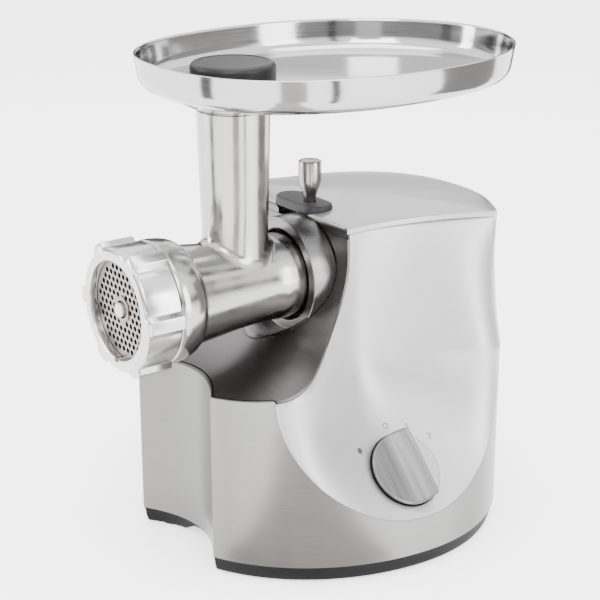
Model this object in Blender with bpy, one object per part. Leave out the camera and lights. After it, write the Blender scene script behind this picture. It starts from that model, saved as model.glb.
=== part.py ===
"""Electric meat grinder, built as an assembly of its separate pieces.

Frame: +X is the side with the control knob, -Y is the outlet (front), +Z is up.
The origin is on the surface that it stands on, under the middle of its bounding box.
Dimensions are millimetres here, and metres in the scene.
"""
import math

import bmesh
import bpy
from mathutils import Matrix, Vector

MM = 0.001
GAP = 0.3              # clearance between neighbouring pieces
PAST = 20.0            # how far a cutter runs past the piece that it cuts

# --- driving dimensions -------------------------------------------------------
# body
BODY_HALF_WIDTH = 101.0
BODY_CENTRE_Y = 15.0
BODY_FRONT = 115.0     # half length from the centre to the front
BODY_BACK = 99.0
SKIRT_BOTTOM = 10.0
SKIRT_TOP = 107.5
SKIRT_WALL = 1.5
TOP_Z = 183.5
TOP_HALF_WIDTH = 79.0
TOP_BACK = 100.0
TOP_SQUARENESS = 2.35
BODY_TAPER = 2.0       # how fast the sides draw in above the skirt
TOP_CROWN = 3.0
LID_LIP_Z = 172.0
CASE_WALL = 2.2
FRONT_CORNER_X = 37.5
FRONT_HOLLOW = 13.0

# cove around the head
COVE_FRONT_Y = -95.0
COVE_BACK_Y = -3.0
COVE_BOTTOM_Z = 105.3
COVE_HEIGHT = 62.0
COVE_WALL = 1.5
COVE_TOP_Z = 177.6

# scoop on the control side
SCOOP_Y = 6.5
SCOOP_Z = 108.0
SCOOP_RADIUS = 77.0
SCOOP_X = 40.0
SCOOP_PLAN_RADIUS = 158.0
SCOOP_POWER = 1.65
SCOOP_FADE = 0.7
PANEL_WALL = 3.4
PANEL_TOP_Z = 180.0
PANEL_BACK_SET = 1.0
PANEL_RIM_SET = 0.9
PANEL_SEAM = 0.45
VENT_SLOTS = 6
VENT_PITCH = 6.7
VENT_HEIGHT = 2.6
VENT_HALF_WIDTH = 26.4
VENT_LOW_Z = 120.8

# head
HEAD_Z = 150.2
NUT_FRONT_Y = -126.7
NUT_BACK_Y = -105.2
NUT_RADIUS = 34.0
NUT_RIB_RADIUS = 37.4
NUT_RIBS = 6
OUTLET_RADIUS = 27.0
PLATE_FRONT_Y = -121.9
PLATE_THICKNESS = 6.0
PLATE_RADIUS = 30.9    # a No. 8 plate, 62 mm across
BORE_RADIUS = 21.3
NECK_RADIUS = 24.3
NECK_END_Y = 13.0
COLLAR_FRONT_Y = -19.0
COLLAR_BACK_Y = -3.4
COLLAR_RADIUS = 33.0
COLLAR_BORE = 25.6
TUBE_Y = -49.7
TUBE_TOP_Z = 254.3
TUBE_SHOULDER_Z = 249.0
AUGER_RADIUS = 20.6
AUGER_PITCH = 32.0

# tray and pusher
TRAY_Y = 18.0
TRAY_RIM_Z = 276.4
TRAY_HALF_WIDTH = 88.0
TRAY_FRONT = 112.5
TRAY_BACK = 108.7
TRAY_SHEET = 1.4
PUSHER_RADIUS = 23.1
PUSHER_TOP_Z = 274.9

# lock pin
PIN_X = -7.0
PIN_Y = 6.2

PAD_LOW_Z = 182.3
PAD_HIGH_Z = 187.4
PIN_FOOT_Z = 169.2
PIN_STEM_RADIUS = 3.2
GUIDE_FOOT_Z = 174.9
SPRING_LOW_Z = 177.5
SPRING_HIGH_Z = 185.1
SPRING_TURNS = 3.0
SPRING_WIRE = 0.42     # radius of the wire

# knob
KNOB_CENTRE = (81.1, 8.0, 52.05)
KNOB_RADIUS = 21.3
KNOB_TILT = math.radians(45.7)     # from +Z towards +X

# gear train: output, intermediate and motor axes in the XZ plane
OUTPUT_AXIS = (0.0, HEAD_Z)
STAGE1_MODULE, STAGE1_PINION, STAGE1_WHEEL = 1.25, 9, 47
STAGE2_MODULE, STAGE2_PINION, STAGE2_WHEEL = 1.8, 10, 30
STAGE2_LEAN = math.radians(30)
MOTOR_X = -12.0
STAGE2_FRONT_Y, STAGE2_BACK_Y = 22.0, 34.0
STAGE1_FRONT_Y, STAGE1_BACK_Y = 36.4, 43.6
DRIVE_FLATS = 11.8     # hexagon on the auger, across flats
SOCKET_FLATS = 12.6
AXLE_RADIUS = 4.0
GEARBOX_FRONT_Y, GEARBOX_BACK_Y = 17.0, 47.0
GEARBOX_WALL = 2.0
GEARBOX_COVER = 3.0

# motor
SHAFT_FRONT_Y, SHAFT_BACK_Y = 35.2, 106.6
ROTOR_RADIUS = 22.0
ROTOR_FRONT_Y, ROTOR_BACK_Y = 68.6, 90.0
STATOR_HALF = 38.0
STATOR_BORE = 23.2
STATOR_FRONT_Y, STATOR_BACK_Y = 67.8, 90.7
COIL_OFFSET = 27.0
COMMUTATOR_RADIUS = 11.0
COMMUTATOR_FRONT_Y, COMMUTATOR_BACK_Y = 92.4, 100.0
BRUSH_MIDDLE_Y = 96.2
BRUSH_HALF = 3.2
FAN_RADIUS, FAN_HUB = 28.0, 11.0
FAN_FRONT_Y, FAN_BACK_Y = 57.8, 61.9
FAN_BLADES = 9
BEARING_RADIUS = 10.5
FRONT_BEARING_Y = 52.2
REAR_BEARING_Y = 102.2

# feet and screws: x and y on the right side
FOOT_PLACES = (("front", 31.0, -74.0), ("rear", 58.0, 70.0))
SCREW_PLACES = (("front", 66.0, -48.0), ("rear", 34.0, 92.0))
FOOT_RADIUS = 9.0
SIDES = (("left", -1), ("right", 1))

# cord gland and the board on the left wall
GLAND_Z = 24.0
GLAND_HOLE = 6.4
BOARD_X = -86.0
BOARD_THICKNESS = 1.6


# --- helpers ------------------------------------------------------------------
def clear_scene():
    for obj in list(bpy.data.objects):
        bpy.data.objects.remove(obj, do_unlink=True)


def make_material(name, colour, roughness, metallic):
    mat = bpy.data.materials.new(name)
    mat.use_nodes = True
    bsdf = mat.node_tree.nodes["Principled BSDF"]
    bsdf.inputs["Base Color"].default_value = (*colour, 1.0)
    bsdf.inputs["Roughness"].default_value = roughness
    bsdf.inputs["Metallic"].default_value = metallic
    return mat


def place(name, bm, mat, pivot=(0, 0, 0), parent=None, sharp=35.0):
    """Make an object from a mesh in millimetres, with its origin at pivot."""
    bmesh.ops.recalc_face_normals(bm, faces=bm.faces)
    bm.transform(Matrix.Scale(MM, 4) @ Matrix.Translation(-Vector(pivot)))
    mesh = bpy.data.meshes.new(name)
    bm.to_mesh(mesh)
    bm.free()
    mesh.shade_smooth()
    mesh.set_sharp_from_angle(angle=math.radians(sharp))
    obj = bpy.data.objects.new(name, mesh)
    bpy.context.scene.collection.objects.link(obj)
    obj.location = Vector(pivot) * MM
    if parent:
        obj.parent = parent
        obj.location -= parent.location
    if mat:
        mesh.materials.append(mat)
    return obj


def group(name, pivot):
    """An empty on a joint's axis, which carries the pieces that move together."""
    empty = bpy.data.objects.new(name, None)
    empty.location = Vector(pivot) * MM
    bpy.context.scene.collection.objects.link(empty)
    return empty


def cutter(name, bm):
    obj = place(name, bm, None)
    obj.hide_render = True
    obj.display_type = "WIRE"
    return obj


def combine(obj, tool, operation="DIFFERENCE"):
    mod = obj.modifiers.new(tool.name, "BOOLEAN")
    mod.operation = operation
    mod.solver = "EXACT"
    mod.object = tool


def to_axis(axis, a, b, h):
    """A point from two cross-axis coordinates and one along the axis."""
    return {"X": (h, a, b), "Y": (a, h, b), "Z": (a, b, h)}[axis]


def loft(loops, closed=False, cap=True):
    """Quads between loops of equal length; closed joins the last to the first."""
    bm = bmesh.new()
    rings = [[bm.verts.new(p) for p in loop] for loop in loops]
    pairs = list(zip(rings, rings[1:]))
    if closed:
        pairs.append((rings[-1], rings[0]))
    for low, high in pairs:
        count = len(low)
        for i in range(count):
            j = (i + 1) % count
            bm.faces.new((low[i], low[j], high[j], high[i]))
    if cap and not closed:
        bm.faces.new(list(reversed(rings[0])))
        bm.faces.new(rings[-1])
    return bm


def lathe(profile, axis="Y", centre=(0.0, 0.0), segments=24, closed=False):
    """Turn a profile of (radius, height) round an axis through centre."""
    loops = []
    for radius, height in profile:
        loop = []
        for i in range(segments):
            t = 2 * math.pi * i / segments
            a = centre[0] + radius * math.cos(t)
            b = centre[1] + radius * math.sin(t)
            loop.append(to_axis(axis, a, b, height))
        loops.append(loop)
    return loft(loops, closed=closed)


def prism(outline, axis, low, high):
    return loft([[to_axis(axis, a, b, h) for a, b in outline] for h in (low, high)])


def box(x, y, z):
    outline = [(x[0], y[0]), (x[1], y[0]), (x[1], y[1]), (x[0], y[1])]
    return prism(outline, "Z", z[0], z[1])


def ring(outer, inner, low, high, axis="Y", centre=(0.0, 0.0), segments=24):
    profile = [(outer, low), (outer, high), (inner, high), (inner, low)]
    return lathe(profile, axis, centre, segments, closed=True)


def disc(radius, low, high, axis="Y", centre=(0.0, 0.0), segments=24):
    return lathe([(radius, low), (radius, high)], axis, centre, segments)


def thick_grid(outer, inner):
    """A closed skin between two open grids of the same size."""
    bm = bmesh.new()
    skins = []
    for grid in (outer, inner):
        skins.append([[bm.verts.new(p) for p in row] for row in grid])
    rows, columns = len(outer), len(outer[0])
    for skin in skins:
        for i in range(rows - 1):
            for j in range(columns - 1):
                bm.faces.new((skin[i][j], skin[i + 1][j], skin[i + 1][j + 1], skin[i][j + 1]))
    edge = [(i, 0) for i in range(rows)]
    edge += [(rows - 1, j) for j in range(1, columns)]
    edge += [(i, columns - 1) for i in range(rows - 2, -1, -1)]
    edge += [(0, j) for j in range(columns - 2, 0, -1)]
    for (i, j), (k, m) in zip(edge, edge[1:] + edge[:1]):
        bm.faces.new((skins[0][i][j], skins[0][k][m], skins[1][k][m], skins[1][i][j]))
    return bm


def hexagon(across_flats, centre=(0.0, 0.0)):
    radius = across_flats / math.sqrt(3)
    turns = [math.pi * i / 3 for i in range(6)]
    return [(centre[0] + radius * math.cos(t), centre[1] + radius * math.sin(t)) for t in turns]


# --- form of the body ---------------------------------------------------------
def blend_up(z):
    """0 at the top of the skirt, 1 at the top of the body."""
    return max(0.0, (z - SKIRT_TOP) / (TOP_Z - SKIRT_TOP))


def body_axes(z):
    up = blend_up(z)
    half_width = TOP_HALF_WIDTH + (BODY_HALF_WIDTH - TOP_HALF_WIDTH) * (1 - up) ** BODY_TAPER
    back = BODY_BACK + (TOP_BACK - BODY_BACK) * up
    power = 2.0 + (TOP_SQUARENESS - 2.0) * up
    return half_width, back, power


def body_half_width(y, z, inset=0.0):
    half_width, back, power = body_axes(z)
    half_width -= inset
    length = (BODY_FRONT if y < BODY_CENTRE_Y else back) - inset
    share = min(1.0, abs(y - BODY_CENTRE_Y) / length)
    return half_width * (1 - share ** power) ** (1 / power)


def cove_point(turn):
    """Cove profile: turn 0 is its front edge, 1 the vertical wall's foot."""
    angle = turn * math.pi / 2
    y = COVE_FRONT_Y + (COVE_BACK_Y - COVE_FRONT_Y) * math.sin(angle)
    z = COVE_BOTTOM_Z + COVE_HEIGHT * (1 - math.cos(angle))
    return y, z


def cove_height(y):
    share = min(1.0, max(0.0, (y - COVE_FRONT_Y) / (COVE_BACK_Y - COVE_FRONT_Y)))
    return COVE_BOTTOM_Z + COVE_HEIGHT * (1 - math.sqrt(1 - share * share))


def cove_inward(turn):
    """Unit normal of the cove profile, pointing into the body."""
    angle = min(turn, 1.0) * math.pi / 2
    y = (COVE_BACK_Y - COVE_FRONT_Y) * math.cos(angle)
    z = COVE_HEIGHT * math.sin(angle)
    size = math.hypot(y, z)
    return z / size, -y / size


def scoop_wall(y):
    return SCOOP_X + (y - SCOOP_Y) ** 2 / (2 * SCOOP_PLAN_RADIUS)


def scoop_x(y, z):
    """The control side's surface: an upright channel that opens into a dish."""
    wall = scoop_wall(y)
    if z < SCOOP_Z:
        flare = (math.hypot(y - SCOOP_Y, z - SCOOP_Z) / SCOOP_RADIUS) ** SCOOP_POWER
    else:
        rise = min(1.0, (z - SCOOP_Z) / (TOP_Z - SCOOP_Z))
        fade = (1 - rise ** 2) ** SCOOP_FADE
        flare = (abs(y - SCOOP_Y) / SCOOP_RADIUS) ** SCOOP_POWER * fade
    return wall + (body_half_width(y, z) - wall) * min(flare, 1.0)


def scoop_back_y(z):
    """Where the scoop runs out into the body's outer form, behind."""
    low, high = SCOOP_Y + 20, BODY_CENTRE_Y + BODY_BACK
    for _ in range(40):
        middle = (low + high) / 2
        if body_half_width(middle, z) - scoop_x(middle, z) > 1e-3:
            low = middle
        else:
            high = middle
    return low


def skirt_plan(inset=0.0, arcs=52, front=9):
    """Closed plan of the lower casing: an oval whose front is hollowed."""
    width, length = BODY_HALF_WIDTH - inset, BODY_FRONT - inset
    back = BODY_BACK - inset
    corner_x = FRONT_CORNER_X - 0.3 * inset
    corner_share = math.sqrt(1 - (corner_x / width) ** 2)
    corner_y = BODY_CENTRE_Y - length * corner_share
    start = math.atan2(-corner_share, corner_x / width)
    points = []
    for i in range(arcs):
        t = start + (math.pi - 2 * start) * i / (arcs - 1)
        reach = back if math.sin(t) > 0 else length
        points.append((width * math.cos(t), BODY_CENTRE_Y + reach * math.sin(t)))
    for i in range(1, front):
        x = -corner_x + 2 * corner_x * i / front
        hollow = FRONT_HOLLOW * (1 - (x / corner_x) ** 2)
        points.append((x, corner_y + hollow + 0.6 * inset * (hollow / FRONT_HOLLOW)))
    return points


# --- casing -------------------------------------------------------------------
def make_skirt(mats):
    outer, inner = skirt_plan(), skirt_plan(SKIRT_WALL)

    def top(y):
        return min(SKIRT_TOP - GAP, cove_height(y) - GAP)

    loops = [
        [(x, y, SKIRT_BOTTOM) for x, y in outer],
        [(x, y, top(y)) for x, y in outer],
        [(x, y, top(y)) for x, y in inner],
        [(x, y, SKIRT_BOTTOM) for x, y in inner],
    ]
    skirt = place("lower_casing", loft(loops, closed=True), mats["brushed_steel"], sharp=30)
    dish = disc(SCOOP_RADIUS, 20, 130, "X", (SCOOP_Y, SCOOP_Z), 64)
    combine(skirt, cutter("dish_cutter", dish))
    gland = disc(GLAND_HOLE, 100, 140, "Y", (0, GLAND_Z), 20)
    combine(skirt, cutter("gland_cutter", gland))


def make_base(mats):
    levels = [(9.7, 0.4), (1.2, 3.0)]
    loops = [[(x, y, z) for x, y in skirt_plan(inset, 30, 7)] for z, inset in levels]
    base = place("base_plate", loft(loops), mats["dark_plastic"], sharp=30)
    inside = prism(skirt_plan(5.0, 30, 7), "Z", 5.0, 20.0)
    combine(base, cutter("base_hollow_cutter", inside))
    arch = lathe([(9.0, -110), (9.0, -66)], "Y", (6, -1), 20)
    bmesh.ops.scale(arch, vec=(2.4, 1, 1), verts=arch.verts,
                    space=Matrix.Translation((-6, 0, 0)))
    combine(base, cutter("arch_cutter", arch))
    for name, x, y in mirrored("foot", FOOT_PLACES):
        recess = disc(FOOT_RADIUS + 0.4, -1, 3.0, "Z", (x, y), 20)
        combine(base, cutter(name + "_recess", recess))
        profile = [(FOOT_RADIUS - 1, 0.0), (FOOT_RADIUS, 0.8), (FOOT_RADIUS, 3.0 - GAP)]
        place(name, lathe(profile, "Z", (x, y), 20), mats["rubber"])
    for name, x, y in mirrored("base_screw", SCREW_PLACES):
        hole = disc(3.4, -1, 3.4, "Z", (x, y), 14)
        combine(base, cutter(name + "_recess", hole))
        profile = [(2.9, 2.5), (2.9, 3.1)]
        place(name, lathe(profile, "Z", (x, y), 12), mats["zinc"])


def mirrored(kind, places):
    """Names and places of pieces that sit alike on the left and on the right."""
    return [(f"{kind}_{row}_{side}", s * x, y) for row, x, y in places for side, s in SIDES]


def make_cove_panel(mats):
    """The bright hollow around the head, from the skirt's rim to the top cover."""
    columns = 15
    corner_x = FRONT_CORNER_X
    corner_y = BODY_CENTRE_Y - BODY_FRONT * math.sqrt(1 - (corner_x / BODY_HALF_WIDTH) ** 2)
    corner_y += SKIRT_WALL + 0.4
    ridge_end_y = SCOOP_Y - SCOOP_RADIUS + 0.6
    span = COVE_BACK_Y - COVE_FRONT_Y
    steps = [corner_y, -86.0, -82.0, -76.5, ridge_end_y - 0.35, ridge_end_y]
    steps += [-64.5, -57.0, -48.5, -39.0, -29.0, -19.5, -11.0, -5.0, COVE_BACK_Y]
    profile = []
    for y in steps:
        turn = math.asin((y - COVE_FRONT_Y) / span) / (math.pi / 2)
        fade = max(0.0, 1 - (y - corner_y) / 24.0) ** 1.5
        profile.append((*cove_point(turn), cove_inward(turn), fade))
    for z in (COVE_BOTTOM_Z + COVE_HEIGHT + 5, COVE_TOP_Z):
        profile.append((COVE_BACK_Y, z, (1.0, 0.0), 0.0))
    outer, inner = [], []
    for y, z, inward, fade in profile:
        right = body_half_width(y, z, SKIRT_WALL + 0.4)
        if y >= ridge_end_y:
            right = scoop_x(y, z)
        left = -body_half_width(y, z, CASE_WALL + 1.0)
        row_out, row_in = [], []
        for i in range(columns):
            x = left + (right - left) * i / (columns - 1)
            hollow = 1.09 * FRONT_HOLLOW * max(0.0, 1 - (x / corner_x) ** 2) * fade
            yy = y + hollow
            zz = cove_height(yy) if fade > 0 else z
            row_out.append((x, yy, zz))
            row_in.append((x, yy + COVE_WALL * inward[0], zz + COVE_WALL * inward[1]))
        outer.append(row_out)
        inner.append(row_in)
    panel = place("front_cove_panel", thick_grid(outer, inner), mats["cove_metal"], sharp=40)
    hole = disc(COLLAR_RADIUS + GAP, -120, COVE_BACK_Y - 0.1, "Y", (0, HEAD_Z), 40)
    combine(panel, cutter("collar_cutter", hole))
    hole = disc(27.3, -10, 10, "Y", (0, HEAD_Z), 32)
    combine(panel, cutter("neck_cutter", hole))


def make_collar(mats):
    """Ring round the outlet: proud of the cove above, and a pocket cut into it below."""
    wall = COLLAR_RADIUS - 1.5
    profile = [
        (COLLAR_RADIUS, COLLAR_BACK_Y), (COLLAR_RADIUS, -62.0), (wall, -62.0),
        (wall, COLLAR_FRONT_Y), (COLLAR_BORE + 1.2, COLLAR_FRONT_Y),
        (COLLAR_BORE, COLLAR_FRONT_Y + 1.2), (COLLAR_BORE, COLLAR_BACK_Y),
    ]
    collar = place("outlet_collar", lathe(profile, "Y", (0, HEAD_Z), 40, closed=True),
                   mats["cove_metal"])
    edge = COLLAR_FRONT_Y - 0.5
    outline = [(-100.0, 200.0), (-100.0, 100.0)]
    for i in range(13):
        y = -75.0 + (edge + 75.0) * i / 12
        outline.append((y, cove_height(y) - 0.05))
    outline.append((edge, 200.0))
    combine(collar, cutter("collar_trim_cutter", prism(outline, "X", -50, 50)))


def make_side_panel(mats):
    """Control side: a patch between the top edge, both ridges and the dish's round rim."""
    columns, rows = 19, 13
    rim = SCOOP_RADIUS - PANEL_RIM_SET
    turn = panel_tip(rim)
    tip = offset_cove(turn)
    start = math.atan2(tip[1] - SCOOP_Z, tip[0] - SCOOP_Y) % (2 * math.pi)
    front = front_edge(turn, rows)
    back = []
    for i in range(rows + 1):
        z = PANEL_TOP_Z + (SCOOP_Z - PANEL_TOP_Z) * i / rows
        back.append((scoop_back_y(z) - PANEL_BACK_SET, z))
    top = [between_points(front[0], back[0], j / (columns - 1)) for j in range(columns)]
    bottom = []
    for j in range(columns):
        angle = start + (2 * math.pi - start) * j / (columns - 1)
        bottom.append((SCOOP_Y + rim * math.cos(angle), SCOOP_Z + rim * math.sin(angle)))
    back[-1] = bottom[-1]
    outer, inner = [], []
    for i in range(rows + 1):
        t = i / rows
        row_out, row_in = [], []
        for j in range(columns):
            s = j / (columns - 1)
            across = between_points(front[i], back[i], s)
            down = between_points(top[j], bottom[j], t)
            low = between_points(front[0], front[-1], t)
            high = between_points(back[0], back[-1], t)
            flat = between_points(low, high, s)
            y, z = (a + b - c for a, b, c in zip(across, down, flat))
            x = scoop_x(y, z)
            row_out.append((x, y, z))
            row_in.append((x - PANEL_WALL, y, z))
        outer.append(row_out)
        inner.append(row_in)
    panel = place("control_panel", thick_grid(outer, inner), mats["satin_silver"], sharp=50)
    hole = disc(4.5, -20, 20, "Z", (0, 0), 16)
    tool = cutter("knob_shaft_cutter", hole)
    tool.rotation_euler = (0, KNOB_TILT, 0)
    tool.location = Vector(KNOB_CENTRE) * MM
    combine(panel, tool)
    seat = cutter("knob_seat_cutter", disc(KNOB_RADIUS + 0.5, 0.2, 20, "Z", (0, 0), 40))
    seat.rotation_euler = (0, KNOB_TILT, 0)
    seat.location = Vector(KNOB_CENTRE) * MM
    combine(panel, seat)


def between_points(p, q, share):
    return tuple(a + (b - a) * share for a, b in zip(p, q))


def offset_cove(turn):
    """The cove's profile, set back by the cove panel and a seam."""
    y, z = cove_point(turn)
    inward_y, inward_z = cove_inward(turn)
    return y + (COVE_WALL + PANEL_SEAM) * inward_y, z + (COVE_WALL + PANEL_SEAM) * inward_z


def panel_tip(rim):
    """Where the set-back cove profile meets the dish's rim."""
    low, high = 0.0, 1.0
    for _ in range(40):
        middle = (low + high) / 2
        y, z = offset_cove(middle)
        if math.hypot(y - SCOOP_Y, z - SCOOP_Z) > rim:
            low = middle
        else:
            high = middle
    return high


def front_edge(tip_turn, rows):
    """Front edge of the control panel from its top to its tip, evenly spaced."""
    path = [(COVE_BACK_Y + COVE_WALL + PANEL_SEAM, PANEL_TOP_Z)]
    path += [offset_cove(1 + (tip_turn - 1) * i / 60) for i in range(61)]
    lengths = [0.0]
    for p, q in zip(path, path[1:]):
        lengths.append(lengths[-1] + math.dist(p, q))
    points, k = [], 0
    for i in range(rows + 1):
        goal = lengths[-1] * i / rows
        while k < len(path) - 2 and lengths[k + 1] < goal:
            k += 1
        share = (goal - lengths[k]) / (lengths[k + 1] - lengths[k])
        points.append(between_points(path[k], path[k + 1], min(share, 1.0)))
    return points


def make_rear_cover(mats):
    """Upper casing round the back and the left side."""
    low_z, high_z = SKIRT_TOP, LID_LIP_Z - GAP
    rows, columns = 8, 23
    outer, inner = [], []
    for i in range(rows + 1):
        z = low_z + (high_z - low_z) * (i / rows) ** 1.8
        right_y = scoop_back_y(z) + 0.7
        left_y = left_front_y(z)
        row_out, row_in = [], []
        for j in range(columns):
            s = j / (columns - 1)
            row_out.append((*rear_point(s, right_y, left_y, z, 0.0), z))
            row_in.append((*rear_point(s, right_y + 1.2, left_y, z, CASE_WALL), z))
        outer.append(row_out)
        inner.append(row_in)
    cover = place("rear_cover", thick_grid(outer, inner), mats["pale_silver"], sharp=40)
    slots = bmesh.new()
    half = VENT_HALF_WIDTH
    for i in range(VENT_SLOTS):
        z = VENT_LOW_Z + VENT_PITCH * i
        corners = []
        for y in (90, 140):
            loop = ((-half, z), (half, z), (half, z + VENT_HEIGHT), (-half, z + VENT_HEIGHT))
            corners.append([slots.verts.new((x, y, height)) for x, height in loop])
        near, far = corners
        slots.faces.new(near)
        slots.faces.new(list(reversed(far)))
        for k in range(4):
            m = (k + 1) % 4
            slots.faces.new((near[k], far[k], far[m], near[m]))
    combine(cover, cutter("vent_cutter", slots))


def left_front_y(z):
    """Front end of the rear cover's left side, flush with the cove."""
    if z >= COVE_BOTTOM_Z + COVE_HEIGHT:
        return COVE_BACK_Y
    share = 1 - (z - COVE_BOTTOM_Z) / COVE_HEIGHT
    return COVE_FRONT_Y + (COVE_BACK_Y - COVE_FRONT_Y) * math.sqrt(1 - share * share)


def plan_angle(x, y, z, inset):
    """Parameter of a point of the body's outer form, for rear_point."""
    half_width, back, power = body_axes(z)
    half_width -= inset
    length = (BODY_FRONT if y < BODY_CENTRE_Y else back) - inset
    c = math.copysign((abs(x) / half_width) ** (power / 2), x)
    s = math.copysign((abs(y - BODY_CENTRE_Y) / length) ** (power / 2), y - BODY_CENTRE_Y)
    return math.atan2(s, c)


def rear_point(share, right_y, left_y, z, inset):
    start = plan_angle(body_half_width(right_y, z, inset), right_y, z, inset)
    end = plan_angle(-body_half_width(left_y, z, inset), left_y, z, inset) % (2 * math.pi)
    angle = start + (end - start) * share
    half_width, back, power = body_axes(z)
    c, s = math.cos(angle), math.sin(angle)
    length = back if s > 0 else BODY_FRONT
    x = math.copysign(abs(c) ** (2 / power), c) * (half_width - inset)
    y = BODY_CENTRE_Y + math.copysign(abs(s) ** (2 / power), s) * (length - inset)
    return x, y


def make_top_cover(mats):
    """Crowned lid whose edge rolls down over the rear cover and the cove."""
    outline, centre = top_outline(), (-8.0, 45.0)

    def level(drop, shrink, thickness):
        """One loop of the rolled edge; a drop of None in height is the lip's foot."""
        loop = []
        for x, y, radius, lip, wall, foot in outline:
            if drop[1] is None:
                x, y = foot
            dx, dy = x - centre[0], y - centre[1]
            size = math.hypot(dx, dy)
            k = max(0.0, size - shrink * wall - radius * (1 - drop[0])) / size
            z = lip if drop[1] is None else TOP_Z - radius * (1 - drop[1]) - thickness
            loop.append((centre[0] + dx * k, centre[1] + dy * k, z))
        return loop

    def crown_ring(loop, share, thickness):
        height = TOP_Z + TOP_CROWN * (1 - share ** 2) - thickness
        return [(centre[0] + (x - centre[0]) * share, centre[1] + (y - centre[1]) * share,
                 height) for x, y, _ in loop]

    bm = bmesh.new()
    lips = []
    for shrink, thickness, arc in ((0.0, 0.0, 3), (1.0, CASE_WALL, 2)):
        loops = [level((1.0, None), shrink, thickness)]
        for step in range(arc + 1):
            a = math.pi / 2 * step / arc
            loops.append(level((math.cos(a), math.sin(a)), shrink, thickness))
        loops += [crown_ring(loops[-1], share, thickness) for share in (0.8, 0.4)]
        rings = [[bm.verts.new(p) for p in loop] for loop in loops]
        for low, high in zip(rings, rings[1:]):
            for i in range(len(low)):
                j = (i + 1) % len(low)
                bm.faces.new((low[i], low[j], high[j], high[i]))
        peak = bm.verts.new((*centre, TOP_Z + TOP_CROWN - thickness))
        for i in range(len(rings[-1])):
            bm.faces.new((rings[-1][i], rings[-1][(i + 1) % len(rings[-1])], peak))
        lips.append(rings[0])
    for i in range(len(outline)):
        j = (i + 1) % len(outline)
        bm.faces.new((lips[0][i], lips[0][j], lips[1][j], lips[1][i]))
    lid = place("top_cover", bm, mats["pale_silver"], sharp=40)
    slot = prism(pad_outline(-0.4), "Z", 175, 190)
    combine(lid, cutter("pad_cutter", slot))


def top_outline():
    """Points of the lid's edge: x, y, edge radius, lip height, wall, and the lip's x, y."""
    points = []
    left_x = -body_half_width(COVE_BACK_Y, TOP_Z - 8.0)
    right_x = scoop_wall(COVE_BACK_Y)
    count = 9
    for i in range(count):
        x = left_x + (right_x - left_x) * i / count
        points.append((x, COVE_BACK_Y, 3.0, COVE_TOP_Z + GAP, 1.4))
    points.append((right_x - 0.8, COVE_BACK_Y, 2.4, COVE_TOP_Z + GAP, 1.2))
    side_lip = PANEL_TOP_Z + GAP
    back_y = scoop_back_y(side_lip) - 0.1
    count = 10
    for i in range(count + 1):
        y = COVE_BACK_Y + (back_y - COVE_BACK_Y) * i / count
        points.append((scoop_wall(y), y, 0.9, side_lip, CASE_WALL if i < count else 0.8))
    points = [(*point, point[:2]) for point in points]
    count = 22
    for i in range(count):
        s = i / count
        rise = min(1.0, s * 8, (1 - s) * 8)
        radius = 1.5 + 6.5 * rise
        x, y = lid_edge_point(s, TOP_Z - radius)
        foot = lid_edge_point(s, LID_LIP_Z)
        points.append((x, y, radius, LID_LIP_Z, CASE_WALL if i else 0.3, foot))
    return points


def lid_edge_point(share, z):
    return rear_point(share, scoop_back_y(z) + 0.35, COVE_BACK_Y, z, 0.0)


def pad_outline(inset):
    """Oval plan of the lock pad."""
    half, radius = 12.0, 9.0 - inset
    points = []
    for side in (1, -1):
        for i in range(9):
            t = -math.pi / 2 + math.pi * i / 8
            x = PIN_X - 6.0 + side * (half + radius * math.cos(t))
            points.append((x, PIN_Y + 0.2 + side * radius * math.sin(t)))
    return points


def make_lock(mats):
    pin = (PIN_X, PIN_Y)
    pad = prism(pad_outline(0.0), "Z", PAD_LOW_Z, PAD_HIGH_Z)
    pad = place("lock_pad", pad, mats["grey_plastic"])
    hole = disc(PIN_STEM_RADIUS + 0.5, PAD_LOW_Z - PAST, PAD_HIGH_Z + PAST, "Z", pin, 18)
    combine(pad, cutter("pad_hole_cutter", hole))
    pad_under = disc(6.9, 170, 185.6, "Z", pin, 20)
    combine(pad, cutter("pad_pocket_cutter", pad_under))
    low, high = GUIDE_FOOT_Z, GUIDE_FOOT_Z + 6.7
    guide = [(7.6, low), (7.6, high), (6.3, high), (6.3, low + 0.8), (2.6, low + 0.8), (2.6, low)]
    place("pin_guide", lathe(guide, "Z", pin, 20, closed=True), mats["brass"])
    profile = [
        (1.9, PIN_FOOT_Z), (2.2, PIN_FOOT_Z + 0.6), (2.2, 176.0), (5.2, 176.0), (5.2, 176.8),
        (PIN_STEM_RADIUS, 176.8), (PIN_STEM_RADIUS, PAD_HIGH_Z + 0.1),
        (4.4, 193.5), (6.6, 199.5), (6.6, 210.4), (5.6, 211.5),
    ]
    pivot = (PIN_X, PIN_Y, PIN_FOOT_Z)
    place("lock_pin", lathe(profile, "Z", pin, 24), mats["steel"], pivot)
    place("lock_spring", coil(4.35, pin), mats["spring_steel"], (PIN_X, PIN_Y, 177.0))


def coil(radius, centre, steps=14, sides=5):
    """Round-wire compression spring with its axis along Z."""
    low, high, turns, wire = SPRING_LOW_Z, SPRING_HIGH_Z, SPRING_TURNS, SPRING_WIRE
    loops = []
    count = int(turns * steps)
    slope = (high - low) / (turns * 2 * math.pi)
    for i in range(count + 1):
        t = 2 * math.pi * turns * i / count
        z = low + slope * t
        loop = []
        for k in range(sides):
            a = 2 * math.pi * k / sides
            r = radius + wire * math.cos(a)
            x, y = centre[0] + r * math.cos(t), centre[1] + r * math.sin(t)
            loop.append((x, y, z + wire * math.sin(a)))
        loops.append(loop)
    return loft(loops)


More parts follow.
